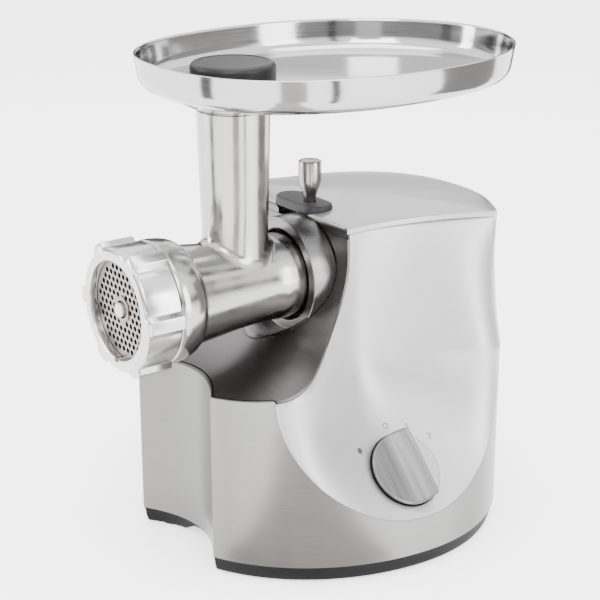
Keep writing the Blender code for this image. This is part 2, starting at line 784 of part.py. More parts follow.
# --- head ---------------------------------------------------------------------
def make_head(mats, head):
    outer = [
        (31.2, -115.6), (31.4, -115.0), (31.4, -104.9), (33.6, -104.7), (34.3, -102.5),
        (34.3, -99.5), (33.2, -94.5), (31.0, -89.5), (29.0, -84.5), (27.6, -79.0), (26.4, -71.0),
        (25.1, -60.0), (24.1, -46.0), (23.7, -36.0), (24.3, -29.0), (NECK_RADIUS, -26.0),
        (NECK_RADIUS, NECK_END_Y),
    ]
    body = place("grinder_head", lathe(outer, "Y", (0, HEAD_Z), 32), mats["cast_aluminium"],
                 (0, TUBE_Y, HEAD_Z), head)
    tube = [(17.4, 152.0), (17.9, 172.0), (19.9, TUBE_SHOULDER_Z), (19.3, TUBE_SHOULDER_Z + 0.4),
            (19.3, TUBE_TOP_Z - 0.5), (18.9, TUBE_TOP_Z)]
    combine(body, cutter("tube_outside", lathe(tube, "Z", (0, TUBE_Y), 28)), "UNION")
    bore = [(27.2, -130), (27.2, -104.5), (BORE_RADIUS, -104.5), (BORE_RADIUS, 0.2),
            (8.4, 0.2), (8.4, 30)]
    combine(body, cutter("bore_cutter", lathe(bore, "Y", (0, HEAD_Z), 24)))
    throat = [(14.6, 150.0), (15.6, 270.0)]
    combine(body, cutter("throat_cutter", lathe(throat, "Z", (0, TUBE_Y), 24)))
    slot = box((PIN_X - 2.6, PIN_X + 2.6), (PIN_Y - 3.0, 30), (168.4, 180))
    combine(body, cutter("pin_slot_cutter", slot))


def make_nut(mats, head):
    """Ring nut with straight grip ribs and a bevelled front."""
    half_top, half_foot = math.radians(5.6), math.radians(8.2)
    fill = 4
    angles, radii = [], []
    step = 2 * math.pi / NUT_RIBS
    for rib in range(NUT_RIBS):
        middle = rib * step
        for offset, radius in ((-half_foot, NUT_RADIUS), (-half_top, NUT_RIB_RADIUS),
                               (half_top, NUT_RIB_RADIUS), (half_foot, NUT_RADIUS)):
            angles.append(middle + offset)
            radii.append(radius)
        for i in range(1, fill):
            angles.append(middle + half_foot + (step - 2 * half_foot) * i / fill)
            radii.append(NUT_RADIUS)

    def loop(y, bevel=0.0, radius=None):
        points = []
        for angle, outside in zip(angles, radii):
            r = outside - bevel if radius is None else radius
            points.append((r * math.cos(angle), y, HEAD_Z + r * math.sin(angle)))
        return points

    lip = PLATE_FRONT_Y - GAP
    loops = [
        loop(NUT_FRONT_Y, 2.0), loop(NUT_FRONT_Y + 2.0), loop(NUT_BACK_Y),
        loop(NUT_BACK_Y, radius=32.0), loop(lip, radius=32.0),
        loop(lip, radius=OUTLET_RADIUS), loop(NUT_FRONT_Y + 0.8, radius=OUTLET_RADIUS),
        loop(NUT_FRONT_Y, radius=OUTLET_RADIUS + 0.8),
    ]
    place("ring_nut", loft(loops, closed=True), mats["cast_aluminium"],
          (0, NUT_FRONT_Y, HEAD_Z), head, sharp=25)


def make_plate(mats, head):
    back = PLATE_FRONT_Y + PLATE_THICKNESS
    plate = place("mincer_plate", disc(PLATE_RADIUS, PLATE_FRONT_Y, back, "Y", (0, HEAD_Z), 36),
                  mats["plate_steel"], (0, PLATE_FRONT_Y, HEAD_Z), head)
    holes = bmesh.new()
    pitch, hole_radius, sides, rows = 4.9, 1.7, 5, 6
    for row in range(-rows, rows + 1):
        for column in range(-rows, rows + 1):
            x = pitch * (column + 0.5 * (row % 2))
            z = pitch * row * math.sqrt(3) / 2
            if not 8.6 < math.hypot(x, z) < 25.8:
                continue
            ends = []
            for y in (PLATE_FRONT_Y - 2, back + 2):
                turns = [2 * math.pi * k / sides for k in range(sides)]
                ends.append([holes.verts.new((x + hole_radius * math.cos(t), y,
                                              HEAD_Z + z + hole_radius * math.sin(t)))
                             for t in turns])
            holes.faces.new(ends[0])
            holes.faces.new(list(reversed(ends[1])))
            for k in range(sides):
                m = (k + 1) % sides
                holes.faces.new((ends[0][k], ends[0][m], ends[1][m], ends[1][k]))
    combine(plate, cutter("plate_holes_cutter", holes))
    hub = disc(5.0, PLATE_FRONT_Y - 2, back + 2, "Y", (0, HEAD_Z), 20)
    combine(plate, cutter("plate_hub_cutter", hub))


def make_blade(mats, head):
    """Four-armed cutter on the auger's square."""
    arms, points = 4, []
    for arm in range(arms):
        middle = 2 * math.pi * arm / arms
        section = ((-36, 9.5), (-15, 13.5), (-9.5, 25.5), (6.5, 25.5), (14, 12.5), (36, 9.5))
        for angle, radius in section:
            t = middle + math.radians(angle)
            points.append((radius * math.cos(t), HEAD_Z + radius * math.sin(t)))
    blade = place("cutter_blade", prism(points, "Y", -115.5, -110.0), mats["steel"],
                  (0, -115.5, HEAD_Z), head)
    half = 4.4
    square = box((-half, half), (-120, -100), (HEAD_Z - half, HEAD_Z + half))
    combine(blade, cutter("blade_square_cutter", square))


def make_auger(mats, head):
    """Feed screw: stud, square for the blade, flight, journal and hexagonal drive end."""
    profile = [
        (3.6, -124.6), (4.0, -124.0), (4.0, -115.9), (4.0, -109.7), (8.6, -109.7), (9.0, -104.0),
        (11.5, -8.0), (19.0, -6.0), (19.0, -2.0), (8.0, -2.0), (8.0, 13.4),
    ]
    auger = place("auger", lathe(profile, "Y", (0, HEAD_Z), 20), mats["cast_aluminium_dull"],
                  (0, -60, HEAD_Z), head)
    half = 4.1
    square = box((-half, half), (-115.7, -105), (HEAD_Z - half, HEAD_Z + half))
    combine(auger, cutter("auger_square", square), "UNION")
    start, end, steps_per_turn = -103.5, -5.0, 11
    count = int((end - start) / AUGER_PITCH * steps_per_turn)
    loops = []
    for i in range(count + 1):
        y = start + (end - start) * i / count
        angle = -2 * math.pi * (y - start) / AUGER_PITCH
        entry = min(1.0, (i + 1.5) / 6)
        tip = 11.5 + (AUGER_RADIUS - 11.5) * entry
        section = ((6.5, -2.6), (6.5, 2.6), (tip, 1.1), (tip, -1.1))
        loops.append([(r * math.cos(angle), y + h, HEAD_Z + r * math.sin(angle))
                      for r, h in section])
    combine(auger, cutter("auger_flight", loft(loops)), "UNION")
    drive = prism(hexagon(DRIVE_FLATS, (0, HEAD_Z)), "Y", 8.0, 27.0)
    combine(auger, cutter("auger_drive", drive), "UNION")
    place("auger_washer", ring(17.5, 8.5, -1.7, -0.1, "Y", (0, HEAD_Z), 24), mats["nylon"],
          (0, -1.7, HEAD_Z), head)


def tray_loop(z, inset, count=40):
    loop = []
    for i in range(count):
        t = 2 * math.pi * i / count
        c, s = math.cos(t), math.sin(t)
        power = 2.4 if s < 0 else 2.0
        length = (TRAY_FRONT if s < 0 else TRAY_BACK) - inset
        x = math.copysign(abs(c) ** (2 / power), c) * (TRAY_HALF_WIDTH - inset)
        y = TRAY_Y + math.copysign(abs(s) ** (2 / power), s) * length
        loop.append((x, y, z))
    return loop


def tray_hole(z, radius, count=40):
    turns = [2 * math.pi * i / count for i in range(count)]
    return [(radius * math.cos(t), TUBE_Y + radius * math.sin(t), z) for t in turns]


def between(loop_a, loop_b, share):
    mixed = []
    for p, q in zip(loop_a, loop_b):
        mixed.append(tuple(a + (b - a) * share for a, b in zip(p, q)))
    return mixed


def make_tray(mats, tray):
    hole_z = TUBE_SHOULDER_Z + 0.7
    under = [tray_loop(TRAY_RIM_Z, 0.0), tray_loop(262.5, 2.2), tray_loop(259.0, 4.8),
             tray_loop(256.8, 11.0)]
    hole_under = tray_hole(hole_z, 19.8)
    under += [between(under[-1], hole_under, 0.5), hole_under]
    sheet = TRAY_SHEET
    above = [tray_loop(TRAY_RIM_Z, sheet), tray_loop(263.0, 2.2 + sheet),
             tray_loop(260.4, 5.4 + sheet), tray_loop(256.8 + sheet, 11.0 + sheet)]
    hole_above = tray_hole(hole_z + sheet, 19.8)
    above += [between(above[-1], hole_above, 0.5), hole_above]
    loops = under + list(reversed(above))
    place("feed_tray", loft(loops, closed=True), mats["tray_metal"], (0, TUBE_Y, hole_z), tray)


def make_pusher(mats, tray):
    """Plunger in the tube, whose head rests just above the tube's rim."""
    rest_z = TUBE_TOP_Z + 0.6
    profile = [
        (13.2, 172.5), (13.9, 174.5), (14.1, rest_z), (PUSHER_RADIUS - 0.5, rest_z),
        (PUSHER_RADIUS, rest_z + 1.1), (PUSHER_RADIUS, PUSHER_TOP_Z - 3.4),
        (PUSHER_RADIUS - 0.9, PUSHER_TOP_Z - 1.0), (20.0, PUSHER_TOP_Z),
    ]
    place("pusher", lathe(profile, "Z", (0, TUBE_Y), 32), mats["black_plastic"],
          (0, TUBE_Y, rest_z), tray)


# --- controls -----------------------------------------------------------------
def knob_outline():
    """Section across the grip: a scooped ramp up to the crest, then a steep fall."""
    low, crest, height = 2.0, 6.2, 10.6
    points = [(KNOB_RADIUS + 1, 0.6), (KNOB_RADIUS + 1, low), (13.2, low), (10.4, low + 1.2)]
    points += [(8.6, height - 1.4), (7.6, height - 0.2), (crest, height), (4.8, height - 0.6)]
    for i in range(1, 8):
        share = i / 8
        points.append((4.8 - 12.5 * share, low + (height - 0.6 - low) * (1 - share) ** 1.7))
    points += [(-7.7, low), (-KNOB_RADIUS - 1, low - 0.4), (-KNOB_RADIUS - 1, 0.6)]
    return points


def make_knob(mats, knob):
    blank = disc(KNOB_RADIUS, 0.5, 30, "Z", (0, 0), 40)
    knob_obj = place("control_knob", blank, mats["satin_silver"])
    reach = KNOB_RADIUS + 5
    grip_obj = cutter("knob_grip_form", prism(knob_outline(), "X", -reach, reach))
    combine(knob_obj, grip_obj, "INTERSECT")
    bore = cutter("knob_bore", disc(3.2, -1, 1.9, "Z", (0, 0), 16))
    combine(knob_obj, bore)
    for obj in (knob_obj, grip_obj, bore):
        obj.location = Vector(KNOB_CENTRE) * MM
        obj.rotation_euler = (0, KNOB_TILT, 0)
    knob_obj.parent = knob
    knob_obj.location = (0, 0, 0)
    knob_obj.rotation_euler = (0, KNOB_TILT, 0)


def make_switch(mats, knob):
    """Rotary switch behind the panel, and its turning stem."""
    tilt = Matrix.Translation(Vector(KNOB_CENTRE)) @ Matrix.Rotation(KNOB_TILT, 4, "Y")
    body = box((-13, 13), (-13, 13), (-26, -6.6))
    body.transform(tilt)
    switch = place("rotary_switch", body, mats["black_plastic"])
    hole = disc(3.4, -14, 0, "Z", (0, 0), 16)
    hole.transform(tilt)
    combine(switch, cutter("switch_hole", hole))
    stem = lathe([(2.9, -13.6), (2.9, 1.6)], "Z", (0, 0), 14)
    stem.transform(tilt)
    place("switch_stem", stem, mats["nylon"], KNOB_CENTRE, knob)


# --- drive --------------------------------------------------------------------
def train_axes():
    """Intermediate and motor axes, worked out from the tooth counts."""
    reach2 = STAGE2_MODULE * (STAGE2_PINION + STAGE2_WHEEL) / 2
    middle = (OUTPUT_AXIS[0] - reach2 * math.sin(STAGE2_LEAN),
              OUTPUT_AXIS[1] - reach2 * math.cos(STAGE2_LEAN))
    reach1 = STAGE1_MODULE * (STAGE1_PINION + STAGE1_WHEEL) / 2
    drop = math.sqrt(reach1 ** 2 - (MOTOR_X - middle[0]) ** 2)
    return middle, (MOTOR_X, middle[1] - drop)


def gear_outline(centre, teeth, module, phase):
    """Straight-sided teeth through the involute's root and tip points."""
    pitch_radius = module * teeth / 2
    base = pitch_radius * math.cos(math.radians(20))
    tip, root = pitch_radius + 0.85 * module, pitch_radius - 1.15 * module
    half_pitch_angle = math.pi / (2 * teeth) * 0.86

    def half_angle(radius):
        alpha = math.acos(min(1.0, base / max(radius, base)))
        alpha0 = math.radians(20)
        roll = (math.tan(alpha) - alpha) - (math.tan(alpha0) - alpha0)
        return half_pitch_angle - roll

    points = []
    for tooth in range(teeth):
        middle = phase + 2 * math.pi * tooth / teeth
        for radius, side in ((root, -1), (tip, -1), (tip, 1), (root, 1)):
            t = middle + side * half_angle(radius)
            points.append((centre[0] + radius * math.cos(t), centre[1] + radius * math.sin(t)))
    return points


def make_gears(mats, bodies):
    middle, motor = train_axes()
    to_middle = math.atan2(middle[1] - OUTPUT_AXIS[1], middle[0] - OUTPUT_AXIS[0])
    to_motor = math.atan2(motor[1] - middle[1], motor[0] - middle[0])
    output, axle, armature = bodies

    wheel2 = gear_outline(OUTPUT_AXIS, STAGE2_WHEEL, STAGE2_MODULE, to_middle)
    front = STAGE2_FRONT_Y
    steel = mats["gear_steel"]
    gear = place("output_gear", prism(wheel2, "Y", front, STAGE2_BACK_Y), steel,
                 (OUTPUT_AXIS[0], front, OUTPUT_AXIS[1]), output)
    combine(gear, cutter("output_gear_bore", disc(8.3, 15, 40, "Y", OUTPUT_AXIS, 20)))
    phase = to_middle + math.pi + math.pi / STAGE2_PINION
    pinion2 = gear_outline(middle, STAGE2_PINION, STAGE2_MODULE, phase)
    bore = AXLE_RADIUS + GAP
    pinion2 = prism(pinion2, "Y", front - 0.2, STAGE2_BACK_Y + 0.4)
    small = place("intermediate_pinion", pinion2, steel, (middle[0], front, middle[1]), axle)
    combine(small, cutter("pinion2_bore", disc(bore, 15, 40, "Y", middle, 16)))
    wheel1 = gear_outline(middle, STAGE1_WHEEL, STAGE1_MODULE, to_motor)
    wheel1 = prism(wheel1, "Y", STAGE1_FRONT_Y, STAGE1_BACK_Y)
    large = place("intermediate_gear", wheel1, mats["nylon"],
                  (middle[0], STAGE1_FRONT_Y, middle[1]), axle)
    combine(large, cutter("wheel1_bore", disc(bore, 30, 50, "Y", middle, 16)))
    low = GEARBOX_FRONT_Y + 3.4
    place("intermediate_shaft", disc(AXLE_RADIUS, low, GEARBOX_BACK_Y - 0.4, "Y", middle, 16),
          mats["steel"], (middle[0], low, middle[1]), axle)
    phase = to_motor + math.pi + math.pi / STAGE1_PINION
    pinion1 = gear_outline(motor, STAGE1_PINION, STAGE1_MODULE, phase)
    pinion1 = prism(pinion1, "Y", STAGE1_FRONT_Y - 0.8, STAGE1_BACK_Y + 0.8)
    pinion = place("motor_pinion", pinion1, steel, (motor[0], STAGE1_FRONT_Y, motor[1]),
                   armature)
    combine(pinion, cutter("pinion1_bore", disc(2.8, 30, 50, "Y", motor, 14)))

    profile = [(9.6, 14.8), (9.6, 21.6), (8.0, 21.6), (8.0, 34.6), (4.0, 34.6), (4.0, 49.0)]
    shaft = place("output_shaft", lathe(profile, "Y", OUTPUT_AXIS, 24), mats["steel"],
                  (0, 14.8, HEAD_Z), output)
    socket = prism(hexagon(SOCKET_FLATS, OUTPUT_AXIS), "Y", 10, 28)
    combine(shaft, cutter("drive_socket_cutter", socket))


def hull_outline(circles, steps=24):
    """Convex outline round several circles of (x, z, radius)."""
    cloud = set()
    for x, z, radius in circles:
        for i in range(steps):
            t = 2 * math.pi * i / steps
            cloud.add((x + radius * math.cos(t), z + radius * math.sin(t)))
    cloud = sorted(cloud)

    def half(points):
        chain = []
        for p in points:
            while len(chain) > 1:
                (ax, az), (bx, bz) = chain[-2:]
                if (bx - ax) * (p[1] - az) - (bz - az) * (p[0] - ax) > 1e-9:
                    break
                chain.pop()
            chain.append(p)
        return chain[:-1]

    return half(cloud) + half(cloud[::-1])


def make_gearbox(mats):
    middle, motor = train_axes()
    sizes = ((*OUTPUT_AXIS, 29.2), (*middle, 31.2), (*motor, 12.0))

    def outline(extra):
        return hull_outline([(x, z, radius + extra) for x, z, radius in sizes])

    cast = mats["cast_aluminium_dull"]
    shell = prism(outline(GEARBOX_WALL), "Y", GEARBOX_FRONT_Y, GEARBOX_BACK_Y)
    housing = place("gearbox_housing", shell, cast)
    hollow = prism(outline(0.0), "Y", GEARBOX_FRONT_Y + 3, GEARBOX_BACK_Y + PAST)
    combine(housing, cutter("gearbox_hollow", hollow))
    combine(housing, cutter("output_hole", disc(12.4, 10, 25, "Y", OUTPUT_AXIS, 24)))
    low = GEARBOX_BACK_Y + GAP
    cover = prism(outline(GEARBOX_WALL), "Y", low, low + GEARBOX_COVER)
    cover = place("gearbox_cover", cover, cast)
    combine(cover, cutter("cover_motor_hole", disc(6.0, 40, 60, "Y", motor, 18)))
    hole = disc(AXLE_RADIUS + GAP, 40, 60, "Y", OUTPUT_AXIS, 18)
    combine(cover, cutter("cover_output_hole", hole))
    place("output_bearing", ring(12.1, 9.8, 17.2, 21.2, "Y", OUTPUT_AXIS, 24), mats["brass"])
    socket = ring(26.9, 24.8, COLLAR_BACK_Y + 0.4, 14.4, "Y", (0, HEAD_Z), 36)
    socket = place("neck_socket", socket, cast)
    combine(socket, cutter("socket_pin_hole", disc(8.0, 160, 190, "Z", (PIN_X, PIN_Y), 20)))


def make_motor(mats, armature):
    _, axis = train_axes()
    x, z = axis
    bore = AXLE_RADIUS + GAP
    low, step = SHAFT_FRONT_Y, SHAFT_FRONT_Y + 9.8
    profile = [(2.5, low), (2.5, step), (AXLE_RADIUS, step + 0.6), (AXLE_RADIUS, SHAFT_BACK_Y)]
    place("armature_shaft", lathe(profile, "Y", axis, 16), mats["steel"], (x, low, z), armature)
    core = ring(ROTOR_RADIUS, bore, ROTOR_FRONT_Y, ROTOR_BACK_Y, "Y", axis, 28)
    place("armature_core", core, mats["laminations"], (x, ROTOR_FRONT_Y, z), armature)
    low = COMMUTATOR_FRONT_Y
    drum = ring(COMMUTATOR_RADIUS, bore, low, COMMUTATOR_BACK_Y, "Y", axis, 20)
    place("commutator", drum, mats["copper"], (x, low, z), armature)
    make_fan(mats, armature, axis)

    stator = box((x - STATOR_HALF, x + STATOR_HALF), (STATOR_FRONT_Y, STATOR_BACK_Y),
                 (z - STATOR_HALF, z + STATOR_HALF))
    stator = place("stator_core", stator, mats["laminations"])
    combine(stator, cutter("stator_bore", disc(STATOR_BORE, 50, 110, "Y", axis, 32)))
    for side, name in ((1, "upper"), (-1, "lower")):
        make_coil(mats, stator, name, x, z + side * COIL_OFFSET)
    for name, side in SIDES:
        make_brush(mats, name, side, axis)
    for name, low, high in (("front_bearing", FRONT_BEARING_Y, FRONT_BEARING_Y + 5.0),
                            ("rear_bearing", REAR_BEARING_Y, REAR_BEARING_Y + 3.8)):
        race = ring(BEARING_RADIUS, AXLE_RADIUS + 0.2, low, high, "Y", axis, 20)
        place(name, race, mats["steel"])
    hole = BEARING_RADIUS + GAP
    plates = (("front", 50.8, 53.0, 30, 34), ("rear", 103.0, 105.4, 22, 20))
    for name, low, high, across, up in plates:
        bracket = box((x - across, x + across), (low, high), (z - up, z + up))
        bracket = place(f"motor_{name}_bracket", bracket, mats["zinc"])
        tool = disc(hole, low - PAST, high + PAST, "Y", axis, 20)
        combine(bracket, cutter(f"{name}_bracket_hole", tool))


def make_fan(mats, armature, axis):
    x, z = axis
    points = []
    root, tip = FAN_HUB, FAN_RADIUS
    for blade in range(FAN_BLADES):
        t = 2 * math.pi * blade / FAN_BLADES
        for turn, radius in ((-0.28, root), (-0.06, tip), (0.07, tip), (0.24, root)):
            points.append((x + radius * math.cos(t + turn), z + radius * math.sin(t + turn)))
    fan = place("cooling_fan", prism(points, "Y", FAN_FRONT_Y, FAN_BACK_Y), mats["nylon"],
                (x, FAN_FRONT_Y, z), armature)
    combine(fan, cutter("fan_bore", disc(AXLE_RADIUS + GAP, 50, 80, "Y", axis, 16)))


def make_coil(mats, stator, name, x, z):
    """A field coil: a flat loop through its window in the stator."""
    window = box((x - 24, x + 24), (50, 110), (z - 5.5, z + 5.5))
    combine(stator, cutter(f"coil_window_{name}", window))
    low, high = STATOR_FRONT_Y - 5.0, STATOR_BACK_Y + 4.9
    winding = box((x - 23, x + 23), (low, high), (z - 4.6, z + 4.6))
    winding = place(f"field_coil_{name}", winding, mats["copper_winding"])
    eye = box((x - 14, x + 14), (low + 4.4, high - 4.3), (z - 9, z + 9))
    combine(winding, cutter(f"coil_eye_{name}", eye))


def make_brush(mats, name, side, axis):
    """A brass holder with its carbon brush, beside the commutator."""
    x, z = axis
    middle, half = BRUSH_MIDDLE_Y, BRUSH_HALF
    near, far = COMMUTATOR_RADIUS + 2.0, COMMUTATOR_RADIUS + 21.0
    span = sorted((x + side * near, x + side * far))
    holder = box(span, (middle - 3.6, middle + 3.6), (z - half - 1.8, z + half + 1.8))
    holder = place(f"brush_holder_{name}", holder, mats["brass"])
    hollow = sorted((x + side * (near - 5.4), x + side * (far - 3)))
    channel = box(hollow, (middle - 2.5, middle + 2.5), (z - half - 0.4, z + half + 0.4))
    combine(holder, cutter(f"brush_channel_{name}", channel))
    brush = sorted((x + side * (COMMUTATOR_RADIUS + 0.4), x + side * (COMMUTATOR_RADIUS + 13)))
    block = box(brush, (middle - 2.2, middle + 2.2), (z - half, z + half))
    place(f"carbon_brush_{name}", block, mats["carbon"])


def make_electrics(mats):
    face_x = BOARD_X + BOARD_THICKNESS
    part_x = face_x + GAP
    place("control_board", box((BOARD_X, face_x), (-12, 42), (32, 82)), mats["board_green"])
    place("suppression_capacitor", box((part_x, part_x + 10.1), (4, 26), (40, 56)),
          mats["capacitor_yellow"])
    place("terminal_block", box((part_x, part_x + 11.1), (30, 40), (36, 66)), mats["nylon"])
    _, axis = train_axes()
    wall = axis[0] + STATOR_HALF + GAP
    cutout = disc(6.0, wall, wall + 5, "X", (84, axis[1] + 20), 16)
    place("thermal_cutout", cutout, mats["zinc"])
    back = BODY_CENTRE_Y + BODY_BACK + GAP
    neck = GLAND_HOLE - GAP
    profile = [(neck, back - 10), (neck, back), (8.6, back), (8.0, back + 2.6), (4.4, back + 2.6),
               (3.4, back - 0.6), (3.4, back - 10)]
    place("cord_gland", lathe(profile, "Y", (0, GLAND_Z), 20, closed=True),
          mats["black_plastic"])


# --- materials and assembly ---------------------------------------------------
FINISHES = {
    "brushed_steel": ((0.62, 0.61, 0.59), 0.35, 1.0),
    "satin_silver": ((0.78, 0.78, 0.79), 0.4, 0.8),
    "pale_silver": ((0.80, 0.80, 0.82), 0.22, 0.7),
    "cove_metal": ((0.34, 0.34, 0.35), 0.15, 1.0),
    "cast_aluminium": ((0.85, 0.85, 0.86), 0.08, 1.0),
    "cast_aluminium_dull": ((0.6, 0.6, 0.61), 0.45, 1.0),
    "tray_metal": ((0.82, 0.82, 0.83), 0.12, 1.0),
    "plate_steel": ((0.62, 0.59, 0.56), 0.3, 1.0),
    "steel": ((0.55, 0.54, 0.52), 0.25, 1.0),
    "gear_steel": ((0.35, 0.34, 0.33), 0.35, 1.0),
    "spring_steel": ((0.5, 0.5, 0.5), 0.3, 1.0),
    "zinc": ((0.6, 0.6, 0.58), 0.4, 1.0),
    "brass": ((0.7, 0.5, 0.2), 0.35, 1.0),
    "copper": ((0.75, 0.35, 0.2), 0.3, 1.0),
    "copper_winding": ((0.5, 0.18, 0.08), 0.4, 0.6),
    "laminations": ((0.2, 0.2, 0.21), 0.5, 0.9),
    "carbon": ((0.03, 0.03, 0.03), 0.7, 0.0),
    "dark_plastic": ((0.06, 0.06, 0.065), 0.5, 0.0),
    "grey_plastic": ((0.12, 0.12, 0.125), 0.55, 0.0),
    "black_plastic": ((0.02, 0.02, 0.022), 0.45, 0.0),
    "rubber": ((0.015, 0.015, 0.015), 0.8, 0.0),
    "nylon": ((0.75, 0.74, 0.7), 0.5, 0.0),
    "board_green": ((0.03, 0.15, 0.06), 0.5, 0.0),
    "capacitor_yellow": ((0.7, 0.5, 0.08), 0.4, 0.0),
}


def build():
    clear_scene()
    mats = {name: make_material(name, *values) for name, values in FINISHES.items()}
    head = group("head_axis", (0, TUBE_Y, HEAD_Z))
    tray = group("tray_axis", (0, TUBE_Y, TUBE_TOP_Z))
    knob = group("knob_axis", KNOB_CENTRE)
    middle, motor = train_axes()
    output = group("output_axis", (OUTPUT_AXIS[0], 22, OUTPUT_AXIS[1]))
    axle = group("intermediate_axis", (middle[0], 22, middle[1]))
    armature = group("motor_axis", (motor[0], 60, motor[1]))

    make_skirt(mats)
    make_base(mats)
    make_cove_panel(mats)
    make_collar(mats)
    make_side_panel(mats)
    make_rear_cover(mats)
    make_top_cover(mats)
    make_lock(mats)
    make_head(mats, head)
    make_nut(mats, head)
    make_plate(mats, head)
    make_blade(mats, head)
    make_auger(mats, head)
    make_tray(mats, tray)
    make_pusher(mats, tray)
    make_knob(mats, knob)
    make_switch(mats, knob)
    make_gears(mats, (output, axle, armature))
    make_gearbox(mats)
    make_motor(mats, armature)
    make_electrics(mats)


build()
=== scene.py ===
"""Looks of the electric meat grinder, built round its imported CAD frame.

Shapes are worked out in millimetres in the frame's axes: +X control side, -Y outlet, +Z up.
Each visible piece is rebuilt finely on the CAD's own driving dimensions, and rides on its body.
"""

import math

import bmesh
import bpy
from mathutils import Matrix, Vector


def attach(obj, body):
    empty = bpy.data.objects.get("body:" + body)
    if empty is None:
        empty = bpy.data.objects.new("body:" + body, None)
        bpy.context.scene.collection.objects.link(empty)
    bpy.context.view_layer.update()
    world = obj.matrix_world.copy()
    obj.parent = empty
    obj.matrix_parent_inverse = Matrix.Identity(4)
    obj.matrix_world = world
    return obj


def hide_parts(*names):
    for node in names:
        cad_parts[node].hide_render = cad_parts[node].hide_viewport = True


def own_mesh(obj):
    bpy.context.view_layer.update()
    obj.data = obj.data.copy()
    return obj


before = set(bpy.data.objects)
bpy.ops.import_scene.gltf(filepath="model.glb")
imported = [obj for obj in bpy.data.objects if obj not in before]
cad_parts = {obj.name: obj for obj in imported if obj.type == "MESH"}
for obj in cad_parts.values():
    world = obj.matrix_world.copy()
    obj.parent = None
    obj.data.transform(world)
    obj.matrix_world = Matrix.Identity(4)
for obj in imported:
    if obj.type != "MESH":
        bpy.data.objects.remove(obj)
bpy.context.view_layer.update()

MM = 0.001

# --- driving dimensions of the frame, in millimetres ---
BODY_HALF_WIDTH, BODY_CENTRE_Y, BODY_FRONT, BODY_BACK = 101.0, 15.0, 115.0, 99.0
SKIRT_BOTTOM, SKIRT_TOP, SKIRT_WALL = 10.0, 107.5, 1.5
TOP_Z, TOP_HALF_WIDTH, TOP_BACK, TOP_SQUARENESS, TOP_CROWN = 183.5, 79.0, 100.0, 2.35, 3.0
BODY_TAPER = 2.0
LID_LIP_Z, CASE_WALL = 172.0, 2.2
FRONT_CORNER_X, FRONT_HOLLOW = 37.5, 13.0
COVE_FRONT_Y, COVE_BACK_Y, COVE_BOTTOM_Z, COVE_HEIGHT = -95.0, -3.0, 105.3, 62.0
COVE_WALL, COVE_TOP_Z = 1.5, 177.6
SCOOP_Y, SCOOP_Z, SCOOP_RADIUS, SCOOP_X = 6.5, 108.0, 77.0, 40.0
SCOOP_PLAN_RADIUS, SCOOP_POWER, SCOOP_FADE = 158.0, 1.65, 0.7
PANEL_WALL, PANEL_TOP_Z, PANEL_SEAM = 3.4, 180.0, 0.14
HEAD_Z, TUBE_Y = 150.2, -49.7
NUT_FRONT_Y, NUT_BACK_Y, NUT_RADIUS, NUT_RIB_RADIUS, NUT_RIBS = -126.7, -105.2, 34.0, 37.4, 6
OUTLET_RADIUS, PLATE_FRONT_Y, PLATE_THICKNESS, PLATE_RADIUS = 27.0, -121.9, 6.0, 30.9
BORE_RADIUS, NECK_END_Y = 21.3, 13.0
COLLAR_FRONT_Y, COLLAR_BACK_Y, COLLAR_RADIUS, COLLAR_BORE = -19.0, -3.4, 33.0, 25.6
COVE_BACKING = COVE_WALL + 0.45
TUBE_TOP_Z, TUBE_SHOULDER_Z = 254.3, 249.0
TRAY_Y, TRAY_RIM_Z, TRAY_HALF_WIDTH, TRAY_FRONT, TRAY_BACK = 18.0, 276.4, 88.0, 112.5, 108.7
TRAY_HOLE_RADIUS = 19.8
PUSHER_RADIUS, PUSHER_TOP_Z = 23.1, 274.9
PIN_X, PIN_Y = -7.0, 6.2
PAD_HALF, PAD_RADIUS, PAD_X, PAD_Y = 12.0, 9.0, PIN_X - 6.0, PIN_Y + 0.2
GLAND_Z = 24.0
VENT_Z, VENT_PITCH, VENT_HALF, VENT_RADIUS, VENT_COUNT = 122.1, 6.7, 25.1, 1.3, 6
FOOT_PLACES = {"front": (31.0, -74.0), "rear": (58.0, 70.0)}
SCREW_PLACES = ((66.0, -48.0), (34.0, 92.0))
KNOB_CENTRE, KNOB_RADIUS = Vector((81.1, 8.0, 52.05)), 21.3
KNOB_TILT = math.radians(45.7)

# --- camera ---
VIEW_AZIMUTH, VIEW_ELEVATION = math.radians(54.14), math.radians(19.05)
VIEW_DISTANCE, VIEW_RIGHT, VIEW_UP = 0.97930, -0.04113, 0.11500
VIEW_TARGET = Vector((0.0, 0.045, 0.0))
LENS_MM, SENSOR_MM = 94.84, 36.0

# dark studio cards: turn round the object, reach, width, height, tone
DARK_CARDS = (
    (-6.0, 0.40, 0.035, 0.55, 0.02), (-32.0, 0.46, 0.15, 0.50, 0.38),
    (62.0, 0.42, 0.30, 0.42, 0.16), (-104.0, 0.50, 0.10, 0.40, 0.05),
    (118.0, 0.60, 0.16, 0.60, 0.04), (160.0, 0.60, 0.20, 0.50, 0.04),
)
# dark mats on the floor: turn round the object, near and far end, width, tone
DARK_MATS = (
    (-36.0, 0.10, 0.46, 0.13, 0.42),
)


# softboxes: name, place, what they face, width and height, watts
SOFTBOXES = (
    ("key_softbox", (1.1, -0.9, 1.2), (0, 0, 0.12), (0.9, 0.9), 26),
    ("right_softbox", (1.4, 0.5, 0.5), (0, 0, 0.12), (0.5, 1.1), 18),
    ("left_softbox", (-0.9, -1.2, 0.5), (0, 0, 0.14), (0.35, 1.0), 14),
    ("top_softbox", (0.0, 0.1, 1.6), (0, 0, 0.1), (1.2, 1.2), 26),
)
